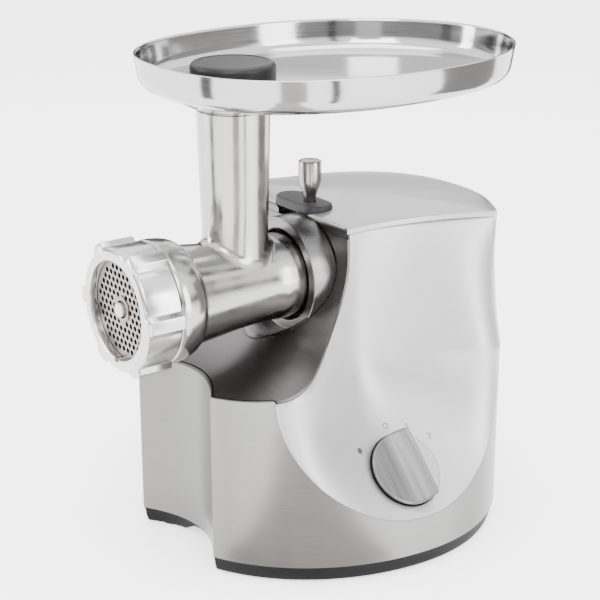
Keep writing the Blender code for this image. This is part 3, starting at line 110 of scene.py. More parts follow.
# sky: share of the way from just under the horizon to straight up, and the colour there
SKY = (
    (0.0, (0.9, 0.9, 0.9)), (0.125, (0.9, 0.9, 0.9)), (0.17, (0.16, 0.155, 0.15)),
    (0.25, (0.15, 0.145, 0.14)), (0.37, (0.9, 0.9, 0.9)), (0.7, (1.0, 1.0, 1.0)),
    (1.0, (0.8, 0.8, 0.8)),
)
SKY_STRENGTH, FLOOR_GLOW, FLOOR_HALF = 3.3, 1.5, 8.0


# --- mesh helpers ---
HALVINGS = 40


def to_axis(axis, a, b, h):
    """A point from its two cross coordinates and its place along an axis."""
    return {"X": (h, a, b), "Y": (a, h, b), "Z": (a, b, h)}[axis]


def circle(radius, count, centre=(0.0, 0.0)):
    turns = [2 * math.pi * i / count for i in range(count)]
    return [(centre[0] + radius * math.cos(t), centre[1] + radius * math.sin(t)) for t in turns]


def round_ended(centre, half, radius, steps):
    """Outline of a slot: two half circles, each a half length from the centre."""
    points = []
    for side in (1, -1):
        for i in range(steps + 1):
            t = -math.pi / 2 + math.pi * i / steps
            points.append((centre[0] + side * (half + radius * math.cos(t)),
                           centre[1] + side * radius * math.sin(t)))
    return points


def bridge(bm, low, high):
    """A band of faces between two loops with the same number of vertices."""
    for i in range(len(low)):
        j = (i + 1) % len(low)
        bm.faces.new((low[i], low[j], high[j], high[i]))


def loft(loops, closed=False):
    """A body through loops of points, capped at both ends or closed into a ring."""
    bm = bmesh.new()
    rings = [[bm.verts.new(p) for p in loop] for loop in loops]
    for low, high in zip(rings, rings[1:]):
        bridge(bm, low, high)
    if closed:
        bridge(bm, rings[-1], rings[0])
    else:
        bm.faces.new(list(reversed(rings[0])))
        bm.faces.new(rings[-1])
    return bm


def lathe(profile, axis="Y", centre=(0.0, 0.0), segments=96, closed=False):
    """A turned body from a profile of (radius, height) points."""
    return loft([[to_axis(axis, a, b, height) for a, b in circle(radius, segments, centre)]
                 for radius, height in profile], closed)


def disc(radius, low, high, axis="Y", centre=(0.0, 0.0), segments=96):
    return lathe([(radius, low), (radius, high)], axis, centre, segments)


def prism(outline, axis, low, high):
    return loft([[to_axis(axis, a, b, h) for a, b in outline] for h in (low, high)])


def box(x, y, z):
    return prism([(x[0], y[0]), (x[1], y[0]), (x[1], y[1]), (x[0], y[1])], "Z", *z)


def rounded(profile, radius=0.6, steps=3):
    """A closed profile with each corner replaced by a small arc-like curve."""
    points, count = [], len(profile)
    for i in range(count):
        before, here, after = (Vector(profile[k % count]) for k in (i - 1, i, i + 1))
        reach_in = min(radius, (before - here).length * 0.45)
        reach_out = min(radius, (after - here).length * 0.45)
        start = here + (before - here).normalized() * reach_in
        end = here + (after - here).normalized() * reach_out
        for k in range(steps + 1):
            t = k / steps
            point = start * (1 - t) ** 2 + here * 2 * t * (1 - t) + end * t ** 2
            points.append(tuple(point))
    return points


def thick_grid(outer, inner):
    """A sheet between two grids of points, closed round its edge."""
    bm = bmesh.new()
    skins = [[[bm.verts.new(p) for p in row] for row in grid] for grid in (outer, inner)]
    rows, columns = len(outer), len(outer[0])
    for skin in skins:
        for i in range(rows - 1):
            for j in range(columns - 1):
                bm.faces.new((skin[i][j], skin[i + 1][j], skin[i + 1][j + 1], skin[i][j + 1]))
    edge = [(i, 0) for i in range(rows)]
    edge += [(rows - 1, j) for j in range(1, columns)]
    edge += [(i, columns - 1) for i in range(rows - 2, -1, -1)]
    edge += [(0, j) for j in range(columns - 2, 0, -1)]
    for (i, j), (k, m) in zip(edge, edge[1:] + edge[:1]):
        bm.faces.new((skins[0][i][j], skins[0][k][m], skins[1][k][m], skins[1][i][j]))
    return bm


def to_mesh(name, bm):
    """Turn a bmesh in millimetres into a mesh in metres."""
    bmesh.ops.recalc_face_normals(bm, faces=bm.faces)
    bm.transform(Matrix.Scale(MM, 4))
    mesh = bpy.data.meshes.new(name)
    bm.to_mesh(mesh)
    bm.free()
    return mesh


def cut(obj, bm, operation="DIFFERENCE"):
    """Apply one Boolean and leave nothing of the cutter behind."""
    tool = bpy.data.objects.new("tool", to_mesh("tool", bm))
    bpy.context.scene.collection.objects.link(tool)
    mod = obj.modifiers.new("cut", "BOOLEAN")
    mod.operation = operation
    mod.solver = "EXACT"
    mod.object = tool
    bake(obj)
    bpy.data.objects.remove(tool, do_unlink=True)


def bake(obj):
    """Replace the object's mesh with the result of its modifiers."""
    graph = bpy.context.evaluated_depsgraph_get()
    mesh = bpy.data.meshes.new_from_object(obj.evaluated_get(graph))
    old = obj.data
    obj.modifiers.clear()
    obj.data = mesh
    bpy.data.meshes.remove(old)


def halve(low, high, goes_up):
    """Narrow a range to the place where a test stops being true."""
    for _ in range(HALVINGS):
        middle = (low + high) / 2
        if goes_up(middle):
            low = middle
        else:
            high = middle
    return low, high


def repaint(obj, mat, chosen):
    """Give a second finish to the faces whose middle, in millimetres, is chosen."""
    obj.data.materials.append(mat)
    for face in obj.data.polygons:
        if chosen(face.center / MM):
            face.material_index = 1


def piece(name, bm, mat, body, node=None, cuts=(), bevel=0.0, sharp=35.0, seg=2):
    """A finished piece: cut, bevelled and smooth-shaded, riding on a CAD body."""
    obj = bpy.data.objects.new(name, to_mesh(name, bm))
    bpy.context.scene.collection.objects.link(obj)
    for tool in cuts:
        operation = "DIFFERENCE"
        if isinstance(tool, tuple):
            operation, tool = tool
        cut(obj, tool, operation)
    if bevel:
        mod = obj.modifiers.new("edge", "BEVEL")
        mod.width = bevel * MM
        mod.segments = seg
        mod.limit_method = "ANGLE"
        mod.angle_limit = math.radians(sharp)
        bake(obj)
    obj.data.shade_smooth()
    obj.data.set_sharp_from_angle(angle=math.radians(sharp))
    obj.data.materials.clear()
    obj.data.materials.append(mat)
    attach(obj, body)
    if node:
        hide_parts(node)
    return obj


# --- materials ---
NOISE_LOW, NOISE_HIGH = 0.3, 0.7  # the range that most of the noise keeps to
WAVE_DEPTH = 0.002


def node_tools(name):
    mat = bpy.data.materials.new(name)
    mat.use_nodes = True
    nodes, links = mat.node_tree.nodes, mat.node_tree.links
    return mat, nodes, links, nodes["Principled BSDF"]


def stretched_noise(nodes, links, scale, size, detail=4.0, rough=0.55):
    """Noise in the object's own space, stretched by a scale for each axis."""
    coords = nodes.new("ShaderNodeTexCoord")
    mapping = nodes.new("ShaderNodeMapping")
    mapping.inputs["Scale"].default_value = scale
    noise = nodes.new("ShaderNodeTexNoise")
    noise.inputs["Scale"].default_value = size
    noise.inputs["Detail"].default_value = detail
    noise.inputs["Roughness"].default_value = rough
    links.new(coords.outputs["Object"], mapping.inputs["Vector"])
    links.new(mapping.outputs["Vector"], noise.inputs["Vector"])
    return noise


def ramp(nodes, links, source, stops):
    node = nodes.new("ShaderNodeValToRGB")
    node.color_ramp.elements[0].position = stops[0][0]
    node.color_ramp.elements[0].color = (*stops[0][1], 1)
    node.color_ramp.elements[1].position = stops[-1][0]
    node.color_ramp.elements[1].color = (*stops[-1][1], 1)
    for position, colour in stops[1:-1]:
        node.color_ramp.elements.new(position).color = (*colour, 1)
    links.new(source, node.inputs["Fac"])
    return node


def scaled(colour, factor):
    return tuple(min(1.0, c * factor) for c in colour)


def paint_reflection_stripes(nodes, links, shade, depth):
    """Painted reflection: the same shade under large, soft, upright darker bands that stand in
    for streaks of reflected light.
    """
    broad = stretched_noise(nodes, links, (1, 1, 0.06), 16, detail=2.0, rough=0.5)
    soft = ramp(nodes, links, broad.outputs["Fac"], (
        (0.42, scaled((1, 1, 1), 1 - depth)), (0.58, (1, 1, 1))))
    blend = nodes.new("ShaderNodeMix")
    blend.data_type = "RGBA"
    blend.blend_type = "MULTIPLY"
    blend.inputs["Factor"].default_value = 1.0
    links.new(shade, blend.inputs["A"])
    links.new(soft.outputs["Color"], blend.inputs["B"])
    return blend.outputs["Result"]


def add_relief(nodes, links, noise, strength, depth, bsdf_normal, under=None):
    """A bump from a noise, on top of an earlier one if there is one."""
    relief = nodes.new("ShaderNodeBump")
    relief.inputs["Strength"].default_value = strength
    relief.inputs["Distance"].default_value = depth
    links.new(noise.outputs["Fac"], relief.inputs["Height"])
    if under:
        links.new(under.outputs["Normal"], relief.inputs["Normal"])
    links.new(relief.outputs["Normal"], bsdf_normal)
    return relief


def finish_material(name, colour, roughness, metallic=0.0, grain=(1, 1, 1), size=300,
                    contrast=0.06, rough_swing=0.08, bump=0.0, bump_depth=0.0002, coat=0.0,
                    specular=0.5, wave=0.0, wave_size=30.0, bands=0.0):
    """Principled finish whose colour, roughness and relief follow a stretched grain, with upright
    bands of painted reflection in the colour when asked for.
    """
    mat, nodes, links, bsdf = node_tools(name)
    noise = stretched_noise(nodes, links, grain, size)
    tones = ramp(nodes, links, noise.outputs["Fac"], (
        (NOISE_LOW, scaled(colour, 1 - contrast)), (NOISE_HIGH, scaled(colour, 1 + contrast))))
    shade = tones.outputs["Color"]
    # painted reflection: upright darker bands multiplied into the colour
    if bands:
        shade = paint_reflection_stripes(nodes, links, shade, bands)
    links.new(shade, bsdf.inputs["Base Color"])
    swing = nodes.new("ShaderNodeMapRange")
    for limit, value in (("From Min", NOISE_LOW), ("From Max", NOISE_HIGH),
                         ("To Min", roughness * (1 - rough_swing)),
                         ("To Max", roughness * (1 + rough_swing))):
        swing.inputs[limit].default_value = value
    links.new(noise.outputs["Fac"], swing.inputs["Value"])
    links.new(swing.outputs["Result"], bsdf.inputs["Roughness"])
    bsdf.inputs["Metallic"].default_value = metallic
    bsdf.inputs["Specular IOR Level"].default_value = specular
    if coat:
        bsdf.inputs["Coat Weight"].default_value = coat
        bsdf.inputs["Coat Roughness"].default_value = 0.12
    relief = None
    if wave:
        soft = stretched_noise(nodes, links, (1, 1, 1), wave_size, detail=1.5, rough=0.4)
        relief = add_relief(nodes, links, soft, wave, WAVE_DEPTH, bsdf.inputs["Normal"])
    if bump:
        add_relief(nodes, links, noise, bump, bump_depth, bsdf.inputs["Normal"], relief)
    return mat


def make_materials():
    """Every finish by key. The grain says how far its noise is squeezed on each axis."""
    add = finish_material
    return {
        # the casing's colour carries painted reflection: upright bands of painted shade
        "casing": add("brushed_casing", (0.225, 0.221, 0.216), 0.3, 1.0, (1, 1, 60), 24,
                      contrast=0.05, bump=0.05, bands=0.3),
        "panel": add("satin_panel", (0.41, 0.41, 0.414), 0.42, 0.6, size=420,
                     contrast=0.015, bump=0.02, bump_depth=0.0001, coat=0.25),
        "lid": add("pale_lid", (0.36, 0.36, 0.37), 0.3, 0.5, size=380,
                   contrast=0.015, bump=0.015, bump_depth=0.0001, coat=0.5),
        "cove": add("dark_cove", (0.125, 0.12, 0.12), 0.3, 1.0, (1, 40, 1), 26,
                    contrast=0.05, bump=0.02),
        "collar": add("collar_metal", (0.15, 0.146, 0.145), 0.26, 1.0, (1, 40, 1), 26,
                      contrast=0.04, bump=0.02),
        "cast": add("polished_casting", (0.36, 0.352, 0.345), 0.19, 1.0, size=90,
                    contrast=0.025, rough_swing=0.3, wave=0.05, wave_size=28),
        "nut": add("polished_nut", (0.48, 0.477, 0.475), 0.2, 1.0, size=120,
                   contrast=0.03, rough_swing=0.3, wave=0.06, wave_size=45),
        "tray": add("polished_tray", (0.40, 0.40, 0.405), 0.12, 1.0, (1, 1, 30), 30,
                    contrast=0.02, rough_swing=0.2, wave=0.03, wave_size=12),
        "plate": add("ground_plate", (0.22, 0.195, 0.18), 0.32, 1.0, size=260,
                     contrast=0.08, bump=0.05),
        "pin": add("turned_pin", (0.27, 0.255, 0.245), 0.24, 1.0, (1, 1, 80), 22,
                   contrast=0.07, bump=0.06),
        "steel": add("bright_steel", (0.35, 0.345, 0.335), 0.28, 1.0, (1, 60, 1), 30, bump=0.04),
        "knob": add("satin_knob", (0.14, 0.139, 0.138), 0.32, 0.95, (1, 40, 1), 9,
                    contrast=0.35, bump=0.04),
        "base": add("moulded_base", (0.006, 0.006, 0.0065), 0.5, size=1500, specular=0.08,
                    contrast=0.12, bump=0.2, bump_depth=0.0001),
        "pad": add("matt_pad", (0.022, 0.021, 0.023), 0.5, size=1600, specular=0.25,
                   contrast=0.1, bump=0.2, bump_depth=0.0001),
        "pusher": add("moulded_pusher", (0.007, 0.007, 0.0075), 0.42, size=900, specular=0.25,
                      contrast=0.12, bump=0.12, bump_depth=0.0001),
        "rubber": add("foot_rubber", (0.004, 0.004, 0.004), 0.75, size=1200, specular=0.1,
                      contrast=0.15, bump=0.2),
        # near black: the rotary switch's own colour, and painted shade in the gap round the knob
        "gap": add("gap_shade_black", (0.002, 0.002, 0.002), 0.6, size=800, specular=0.05),
        "ink": add("printed_mark", (0.04, 0.04, 0.042), 0.5, size=900),
        "zinc": add("plated_zinc", (0.62, 0.62, 0.6), 0.38, 1.0, bump=0.05),
        "dull_cast": add("dull_casting", (0.55, 0.55, 0.56), 0.5, 1.0, size=500,
                         contrast=0.1, bump=0.3),
        "brass": add("plain_brass", (0.7, 0.5, 0.22), 0.35, 1.0, bump=0.04),
        "copper": add("bare_copper", (0.75, 0.36, 0.22), 0.32, 1.0, bump=0.04),
        "winding": add("wound_copper", (0.5, 0.18, 0.08), 0.38, 0.6, (60, 1, 60), 60,
                       contrast=0.25, bump=0.6),
        "lamination": add("stacked_laminations", (0.2, 0.2, 0.21), 0.5, 0.9, (1, 80, 1), 60,
                          contrast=0.2, bump=0.5),
        "carbon": add("carbon_block", (0.03, 0.03, 0.03), 0.7, size=900),
        "nylon": add("natural_nylon", (0.76, 0.75, 0.71), 0.45, contrast=0.03),
        "board": add("circuit_board", (0.03, 0.16, 0.07), 0.45, size=500, contrast=0.3),
        "capacitor": add("capacitor_case", (0.72, 0.52, 0.1), 0.4, size=400),
    }


# --- form of the body ---
def body_axes(z):
    """Half width, rear reach and squareness of the body's oval at a height."""
    up = max(0.0, (z - SKIRT_TOP) / (TOP_Z - SKIRT_TOP))
    half_width = TOP_HALF_WIDTH + (BODY_HALF_WIDTH - TOP_HALF_WIDTH) * (1 - up) ** BODY_TAPER
    return half_width, BODY_BACK + (TOP_BACK - BODY_BACK) * up, 2.0 + (TOP_SQUARENESS - 2.0) * up


def body_half_width(y, z, inset=0.0):
    half_width, back, power = body_axes(z)
    length = (BODY_FRONT if y < BODY_CENTRE_Y else back) - inset
    share = min(1.0, abs(y - BODY_CENTRE_Y) / length)
    return (half_width - inset) * (1 - share ** power) ** (1 / power)


def cove_point(turn):
    """A point (y, z) of the cove's quarter oval, from 0 at its foot to 1 at its back."""
    angle = turn * math.pi / 2
    y = COVE_FRONT_Y + (COVE_BACK_Y - COVE_FRONT_Y) * math.sin(angle)
    return y, COVE_BOTTOM_Z + COVE_HEIGHT * (1 - math.cos(angle))


def cove_height(y):
    """Height of the cove's quarter oval at a distance from the front."""
    share = min(1.0, max(0.0, (y - COVE_FRONT_Y) / (COVE_BACK_Y - COVE_FRONT_Y)))
    return COVE_BOTTOM_Z + COVE_HEIGHT * (1 - math.sqrt(1 - share * share))


def cove_inward(turn):
    """The direction (y, z) from the cove's face into the machine."""
    angle = min(turn, 1.0) * math.pi / 2
    y = (COVE_BACK_Y - COVE_FRONT_Y) * math.cos(angle)
    z = COVE_HEIGHT * math.sin(angle)
    return z / math.hypot(y, z), -y / math.hypot(y, z)


def scoop_wall(y):
    """The bottom of the control side's upright channel."""
    return SCOOP_X + (y - SCOOP_Y) ** 2 / (2 * SCOOP_PLAN_RADIUS)


def scoop_x(y, z):
    """The control side: an upright channel that opens into a round dish."""
    wall = scoop_wall(y)
    if z < SCOOP_Z:
        flare = (math.hypot(y - SCOOP_Y, z - SCOOP_Z) / SCOOP_RADIUS) ** SCOOP_POWER
    else:
        rise = min(1.0, (z - SCOOP_Z) / (TOP_Z - SCOOP_Z))
        fade = (1 - rise ** 2) ** SCOOP_FADE
        flare = (abs(y - SCOOP_Y) / SCOOP_RADIUS) ** SCOOP_POWER * fade
    return wall + (body_half_width(y, z) - wall) * min(flare, 1.0)


def scoop_back_y(z):
    """Where the control side's hollow runs out into the rear of the body."""
    return halve(SCOOP_Y + 20, BODY_CENTRE_Y + BODY_BACK,
                 lambda y: body_half_width(y, z) - scoop_x(y, z) > 1e-3)[0]


def skirt_plan(inset=0.0, arcs=150, front=40):
    """Closed plan of the lower casing: an oval whose front is hollowed."""
    width, length, back = BODY_HALF_WIDTH - inset, BODY_FRONT - inset, BODY_BACK - inset
    corner_x = FRONT_CORNER_X - 0.3 * inset
    corner_share = math.sqrt(1 - (corner_x / width) ** 2)
    corner_y = BODY_CENTRE_Y - length * corner_share
    start = math.atan2(-corner_share, corner_x / width)
    points = []
    for i in range(arcs):
        t = start + (math.pi - 2 * start) * i / (arcs - 1)
        reach = back if math.sin(t) > 0 else length
        points.append((width * math.cos(t), BODY_CENTRE_Y + reach * math.sin(t)))
    for i in range(1, front):
        x = -corner_x + 2 * corner_x * i / front
        hollow = FRONT_HOLLOW * (1 - (x / corner_x) ** 2)
        points.append((x, corner_y + hollow + 0.6 * inset * (hollow / FRONT_HOLLOW)))
    return points


def rear_point(share, right_y, left_y, z, inset):
    """A point of the body's oval, from the right side round the back to the left."""
    half_width, back, power = body_axes(z)
    half_width -= inset

    def plan_angle(side, y):
        length = (BODY_FRONT if y < BODY_CENTRE_Y else back) - inset
        x = side * body_half_width(y, z, inset)
        c = math.copysign((abs(x) / half_width) ** (power / 2), x)
        s = math.copysign((abs(y - BODY_CENTRE_Y) / length) ** (power / 2), y - BODY_CENTRE_Y)
        return math.atan2(s, c)

    start = plan_angle(1, right_y)
    end = plan_angle(-1, left_y) % (2 * math.pi)
    angle = start + (end - start) * share
    c, s = math.cos(angle), math.sin(angle)
    length = (back if s > 0 else BODY_FRONT) - inset
    x = math.copysign(abs(c) ** (2 / power), c) * half_width
    return x, BODY_CENTRE_Y + math.copysign(abs(s) ** (2 / power), s) * length


# --- casing ---
def make_casing(m):
    """Brushed lower casing: a hollow skirt, cut low for the cove and round the dish."""
    outer, inner = skirt_plan(), skirt_plan(SKIRT_WALL)
    soft = skirt_plan(0.35)

    def top(y, drop=0.3):
        return min(SKIRT_TOP, cove_height(y)) - drop

    loops = [[(x, y, SKIRT_BOTTOM) for x, y in outer]]
    for z in (30, 55, 80, 98):
        loops.append([(x, y, min(z, top(y, 0.9))) for x, y in outer])
    loops.append([(x, y, top(y, 0.7)) for x, y in outer])
    loops.append([(x, y, top(y)) for x, y in soft])
    loops.append([(x, y, top(y)) for x, y in inner])
    loops.append([(x, y, SKIRT_BOTTOM) for x, y in inner])
    dish = disc(SCOOP_RADIUS, 20, 130, "X", (SCOOP_Y, SCOOP_Z), 240)
    gland = disc(6.4, 100, 140, "Y", (0, GLAND_Z), 48)
    piece("lower_casing_skin", loft(loops, closed=True), m["casing"], "housing", "lower_casing",
          cuts=(dish, gland), sharp=28)


def make_base(m):
    """Dark base rim with its low arch and screw holes, and the four rubber feet."""
    levels = [(9.7, 0.4), (8.6, 0.9), (5.0, 1.4), (2.4, 2.2), (1.5, 2.6), (1.2, 3.2)]
    loops = [[(x, y, z) for x, y in skirt_plan(inset, 120, 24)] for z, inset in levels]
    arch = lathe([(9.0, -110), (9.0, -66)], "Y", (6, -1), 48)
    bmesh.ops.scale(arch, vec=(2.4, 1, 1), verts=arch.verts,
                    space=Matrix.Translation((-6, 0, 0)))
    cuts = [prism(skirt_plan(5.0, 80, 16), "Z", 5.0, 20.0), arch]
    for places, radius, depth, segments in ((FOOT_PLACES.values(), 9.4, 3.0, 40),
                                            (SCREW_PLACES, 3.4, 3.4, 28)):
        cuts += [disc(radius, -1, depth, "Z", (side * x, y), segments)
                 for x, y in places for side in (-1, 1)]
    piece("base_skin", loft(loops), m["base"], "housing", "base_plate",
          cuts=cuts, sharp=30)
    profile = [(7.4, 0.0), (8.0, 0.15), (8.9, 0.9), (9.0, 2.7)]
    for row, (x, y) in FOOT_PLACES.items():
        for side, sign in (("left", -1), ("right", 1)):
            piece(f"foot_{row}_{side}_skin", lathe(profile, "Z", (sign * x, y), 40), m["rubber"],
                  "housing", f"foot_{row}_{side}")


def make_cove(m):
    """Polished hollow round the head, cut away for the collar and the neck."""
    columns, span, play = 61, COVE_BACK_Y - COVE_FRONT_Y, 0.4
    lip_rows, wall_rows, lip_reach = 12, 32, 24.0
    corner_x = FRONT_CORNER_X
    corner_y = BODY_CENTRE_Y - BODY_FRONT * math.sqrt(1 - (corner_x / BODY_HALF_WIDTH) ** 2)
    corner_y += SKIRT_WALL + play
    ridge_end_y = SCOOP_Y - SCOOP_RADIUS + 0.6
    lip_end_y = ridge_end_y - 0.35
    steps = [corner_y + (lip_end_y - corner_y) * i / lip_rows for i in range(lip_rows + 1)]
    steps.append(ridge_end_y)
    first = math.asin((ridge_end_y - COVE_FRONT_Y) / span) / (math.pi / 2)
    for i in range(1, wall_rows + 1):
        steps.append(cove_point(first + (1 - first) * i / wall_rows)[0])
    profile = []
    for y in steps:
        turn = math.asin(min(1.0, (y - COVE_FRONT_Y) / span)) / (math.pi / 2)
        fade = max(0.0, 1 - (y - corner_y) / lip_reach) ** 1.5
        profile.append((*cove_point(turn), cove_inward(turn), fade))
    wall_foot = COVE_BOTTOM_Z + COVE_HEIGHT
    for z in (wall_foot + 3, wall_foot + 6, COVE_TOP_Z):
        profile.append((COVE_BACK_Y, z, (1.0, 0.0), 0.0))
    outer, inner = [], []
    for y, z, inward, fade in profile:
        right = body_half_width(y, z, SKIRT_WALL + play)
        if y >= ridge_end_y:
            right = scoop_x(y, z)
        left = -body_half_width(y, z, CASE_WALL + 1.0)
        row_out, row_in = [], []
        for i in range(columns):
            x = left + (right - left) * i / (columns - 1)
            hollow = 1.09 * FRONT_HOLLOW * max(0.0, 1 - (x / corner_x) ** 2) * fade
            face_y = y + hollow
            face_z = cove_height(face_y) if fade > 0 else z
            row_out.append((x, face_y, face_z))
            row_in.append((x, face_y + COVE_WALL * inward[0], face_z + COVE_WALL * inward[1]))
        outer.append(row_out)
        inner.append(row_in)
    pocket = disc(COLLAR_RADIUS + 0.3, -120, COVE_BACK_Y - 0.1, "Y", (0, HEAD_Z), 128)
    neck = disc(27.3, -10, 10, "Y", (0, HEAD_Z), 96)
    piece("cove_skin", thick_grid(outer, inner), m["cove"], "housing", "front_cove_panel",
          cuts=(pocket, neck), sharp=40)


def make_collar(m):
    """Round collar that stands out of the cove, trimmed along the cove's curve."""
    wall = COLLAR_RADIUS - 1.5
    profile = rounded([
        (COLLAR_RADIUS, COLLAR_BACK_Y), (COLLAR_RADIUS, -62.0), (wall, -62.0),
        (wall, COLLAR_FRONT_Y), (COLLAR_BORE + 1.2, COLLAR_FRONT_Y),
        (COLLAR_BORE, COLLAR_FRONT_Y + 1.2), (COLLAR_BORE, COLLAR_BACK_Y)], 0.5)
    edge = COLLAR_FRONT_Y - 0.5
    outline = [(-100.0, 200.0), (-100.0, 100.0)]
    for i in range(41):
        y = -75.0 + (edge + 75.0) * i / 40
        outline.append((y, cove_height(y) - 0.05))
    outline.append((edge, 200.0))
    piece("collar_skin", lathe(profile, "Y", (0, HEAD_Z), 128, closed=True), m["collar"],
          "housing", "outlet_collar", cuts=(prism(outline, "X", -50, 50),),
          bevel=0.35, sharp=40)


def between(p, q, share):
    return tuple(a + (b - a) * share for a, b in zip(p, q))


def offset_cove(turn):
    """The cove's curve moved back to the panel's front edge."""
    y, z = cove_point(turn)
    inward_y, inward_z = cove_inward(turn)
    return y + COVE_BACKING * inward_y, z + COVE_BACKING * inward_z


def front_edge(tip_turn, rows):
    """The panel's front edge, in steps of equal length from its top to its tip."""
    path = [(COVE_BACK_Y + COVE_BACKING, PANEL_TOP_Z)]
    path += [offset_cove(1 + (tip_turn - 1) * i / 120) for i in range(121)]
    lengths = [0.0]
    for p, q in zip(path, path[1:]):
        lengths.append(lengths[-1] + math.dist(p, q))
    points, k = [], 0
    for i in range(rows + 1):
        goal = lengths[-1] * i / rows
        while k < len(path) - 2 and lengths[k + 1] < goal:
            k += 1
        share = (goal - lengths[k]) / (lengths[k + 1] - lengths[k])
        points.append(between(path[k], path[k + 1], min(share, 1.0)))
    return points


def make_panel(m):
    """Control side: a patch between the top edge, both ridges and the dish's round rim."""
    columns, rows = 73, 61
    rim = SCOOP_RADIUS - PANEL_SEAM
    dish = (SCOOP_Y, SCOOP_Z)
    tip_turn = halve(0.0, 1.0, lambda turn: math.dist(offset_cove(turn), dish) > rim)[1]
    tip = offset_cove(tip_turn)
    start = math.atan2(tip[1] - SCOOP_Z, tip[0] - SCOOP_Y) % (2 * math.pi)
    front = front_edge(tip_turn, rows)
    back = []
    for i in range(rows + 1):
        z = PANEL_TOP_Z + (SCOOP_Z - PANEL_TOP_Z) * i / rows
        back.append((scoop_back_y(z) - PANEL_SEAM, z))
    top = [between(front[0], back[0], j / (columns - 1)) for j in range(columns)]
    bottom = []
    for j in range(columns):
        angle = start + (2 * math.pi - start) * j / (columns - 1)
        bottom.append((SCOOP_Y + rim * math.cos(angle), SCOOP_Z + rim * math.sin(angle)))
    back[-1] = bottom[-1]
    outer, inner = [], []
    for i in range(rows + 1):
        t = i / rows
        row_out, row_in = [], []
        for j in range(columns):
            s = j / (columns - 1)
            across = between(front[i], back[i], s)
            down = between(top[j], bottom[j], t)
            low_side = between(front[0], front[-1], t)
            flat = between(low_side, between(back[0], back[-1], t), s)
            y, z = (a + b - c for a, b, c in zip(across, down, flat))
            x = scoop_x(y, z)
            row_out.append((x, y, z))
            row_in.append((x - PANEL_WALL, y, z))
        outer.append(row_out)
        inner.append(row_in)
    shaft = disc(4.5, -20, 20, "Z", (0, 0), 40)
    seat = disc(KNOB_RADIUS + 0.5, 0.2, 20, "Z", (0, 0), 128)
    for tool in (shaft, seat):
        tool.transform(knob_frame())
    piece("control_panel_skin", thick_grid(outer, inner), m["panel"], "housing",
          "control_panel", cuts=(shaft, seat), bevel=0.3, sharp=50, seg=1)


def knob_frame():
    """The knob's own frame: its place on the dish and its tilt."""
    return Matrix.Translation(KNOB_CENTRE) @ Matrix.Rotation(KNOB_TILT, 4, "Y")


def left_front_y(z):
    """Where the rear cover's left end meets the cove."""
    if z >= COVE_BOTTOM_Z + COVE_HEIGHT:
        return COVE_BACK_Y
    share = 1 - (z - COVE_BOTTOM_Z) / COVE_HEIGHT
    return COVE_FRONT_Y + (COVE_BACK_Y - COVE_FRONT_Y) * math.sqrt(1 - share * share)


def make_rear_cover(m):
    """Cover round the back and the left side, with a row of vent slots."""
    low_z, high_z, rows, columns = SKIRT_TOP, LID_LIP_Z - 0.3, 30, 121
    outer, inner = [], []
    for i in range(rows + 1):
        z = low_z + (high_z - low_z) * (i / rows) ** 1.6
        right_y, left_y = scoop_back_y(z) + 0.5, left_front_y(z)
        row_out, row_in = [], []
        for j in range(columns):
            s = j / (columns - 1)
            row_out.append((*rear_point(s, right_y, left_y, z, 0.0), z))
            row_in.append((*rear_point(s, right_y + 1.2, left_y, z, CASE_WALL), z))
        outer.append(row_out)
        inner.append(row_in)
    slots = [prism(round_ended((0, VENT_Z + VENT_PITCH * i), VENT_HALF, VENT_RADIUS, 8), "Y",
                   90, 140) for i in range(VENT_COUNT)]
    piece("rear_cover_skin", thick_grid(outer, inner), m["lid"], "housing", "rear_cover",
          cuts=slots, sharp=40)


def lid_edge_point(share, z):
    return rear_point(share, scoop_back_y(z) + 0.4, COVE_BACK_Y, z, 0.0)


def top_outline():
    """Points of the lid's edge: x, y, edge radius, lip height, wall, and the lip's x, y."""
    points = []
    left_x = -body_half_width(COVE_BACK_Y, TOP_Z - 8.0)
    right_x = scoop_wall(COVE_BACK_Y)
    for i in range(36):
        x = left_x + (right_x - left_x) * i / 36
        points.append((x, COVE_BACK_Y, 3.0, COVE_TOP_Z + 0.3, 1.4))
    points.append((right_x - 0.8, COVE_BACK_Y, 2.4, COVE_TOP_Z + 0.3, 1.2))
    side_lip = PANEL_TOP_Z + 0.3
    back_y = scoop_back_y(side_lip) - 0.1
    for i in range(41):
        y = COVE_BACK_Y + (back_y - COVE_BACK_Y) * i / 40
        points.append((scoop_wall(y), y, 0.9, side_lip, CASE_WALL if i < 40 else 0.8))
    points = [(*point, point[:2]) for point in points]
    count = 96
    for i in range(count):
        s = i / count
        rise = min(1.0, s * 8, (1 - s) * 8)
        radius = 1.5 + 6.5 * rise * rise * (3 - 2 * rise)
        x, y = lid_edge_point(s, TOP_Z - radius)
        foot = lid_edge_point(s, LID_LIP_Z)
        points.append((x, y, radius, LID_LIP_Z, CASE_WALL if i else 0.3, foot))
    return points


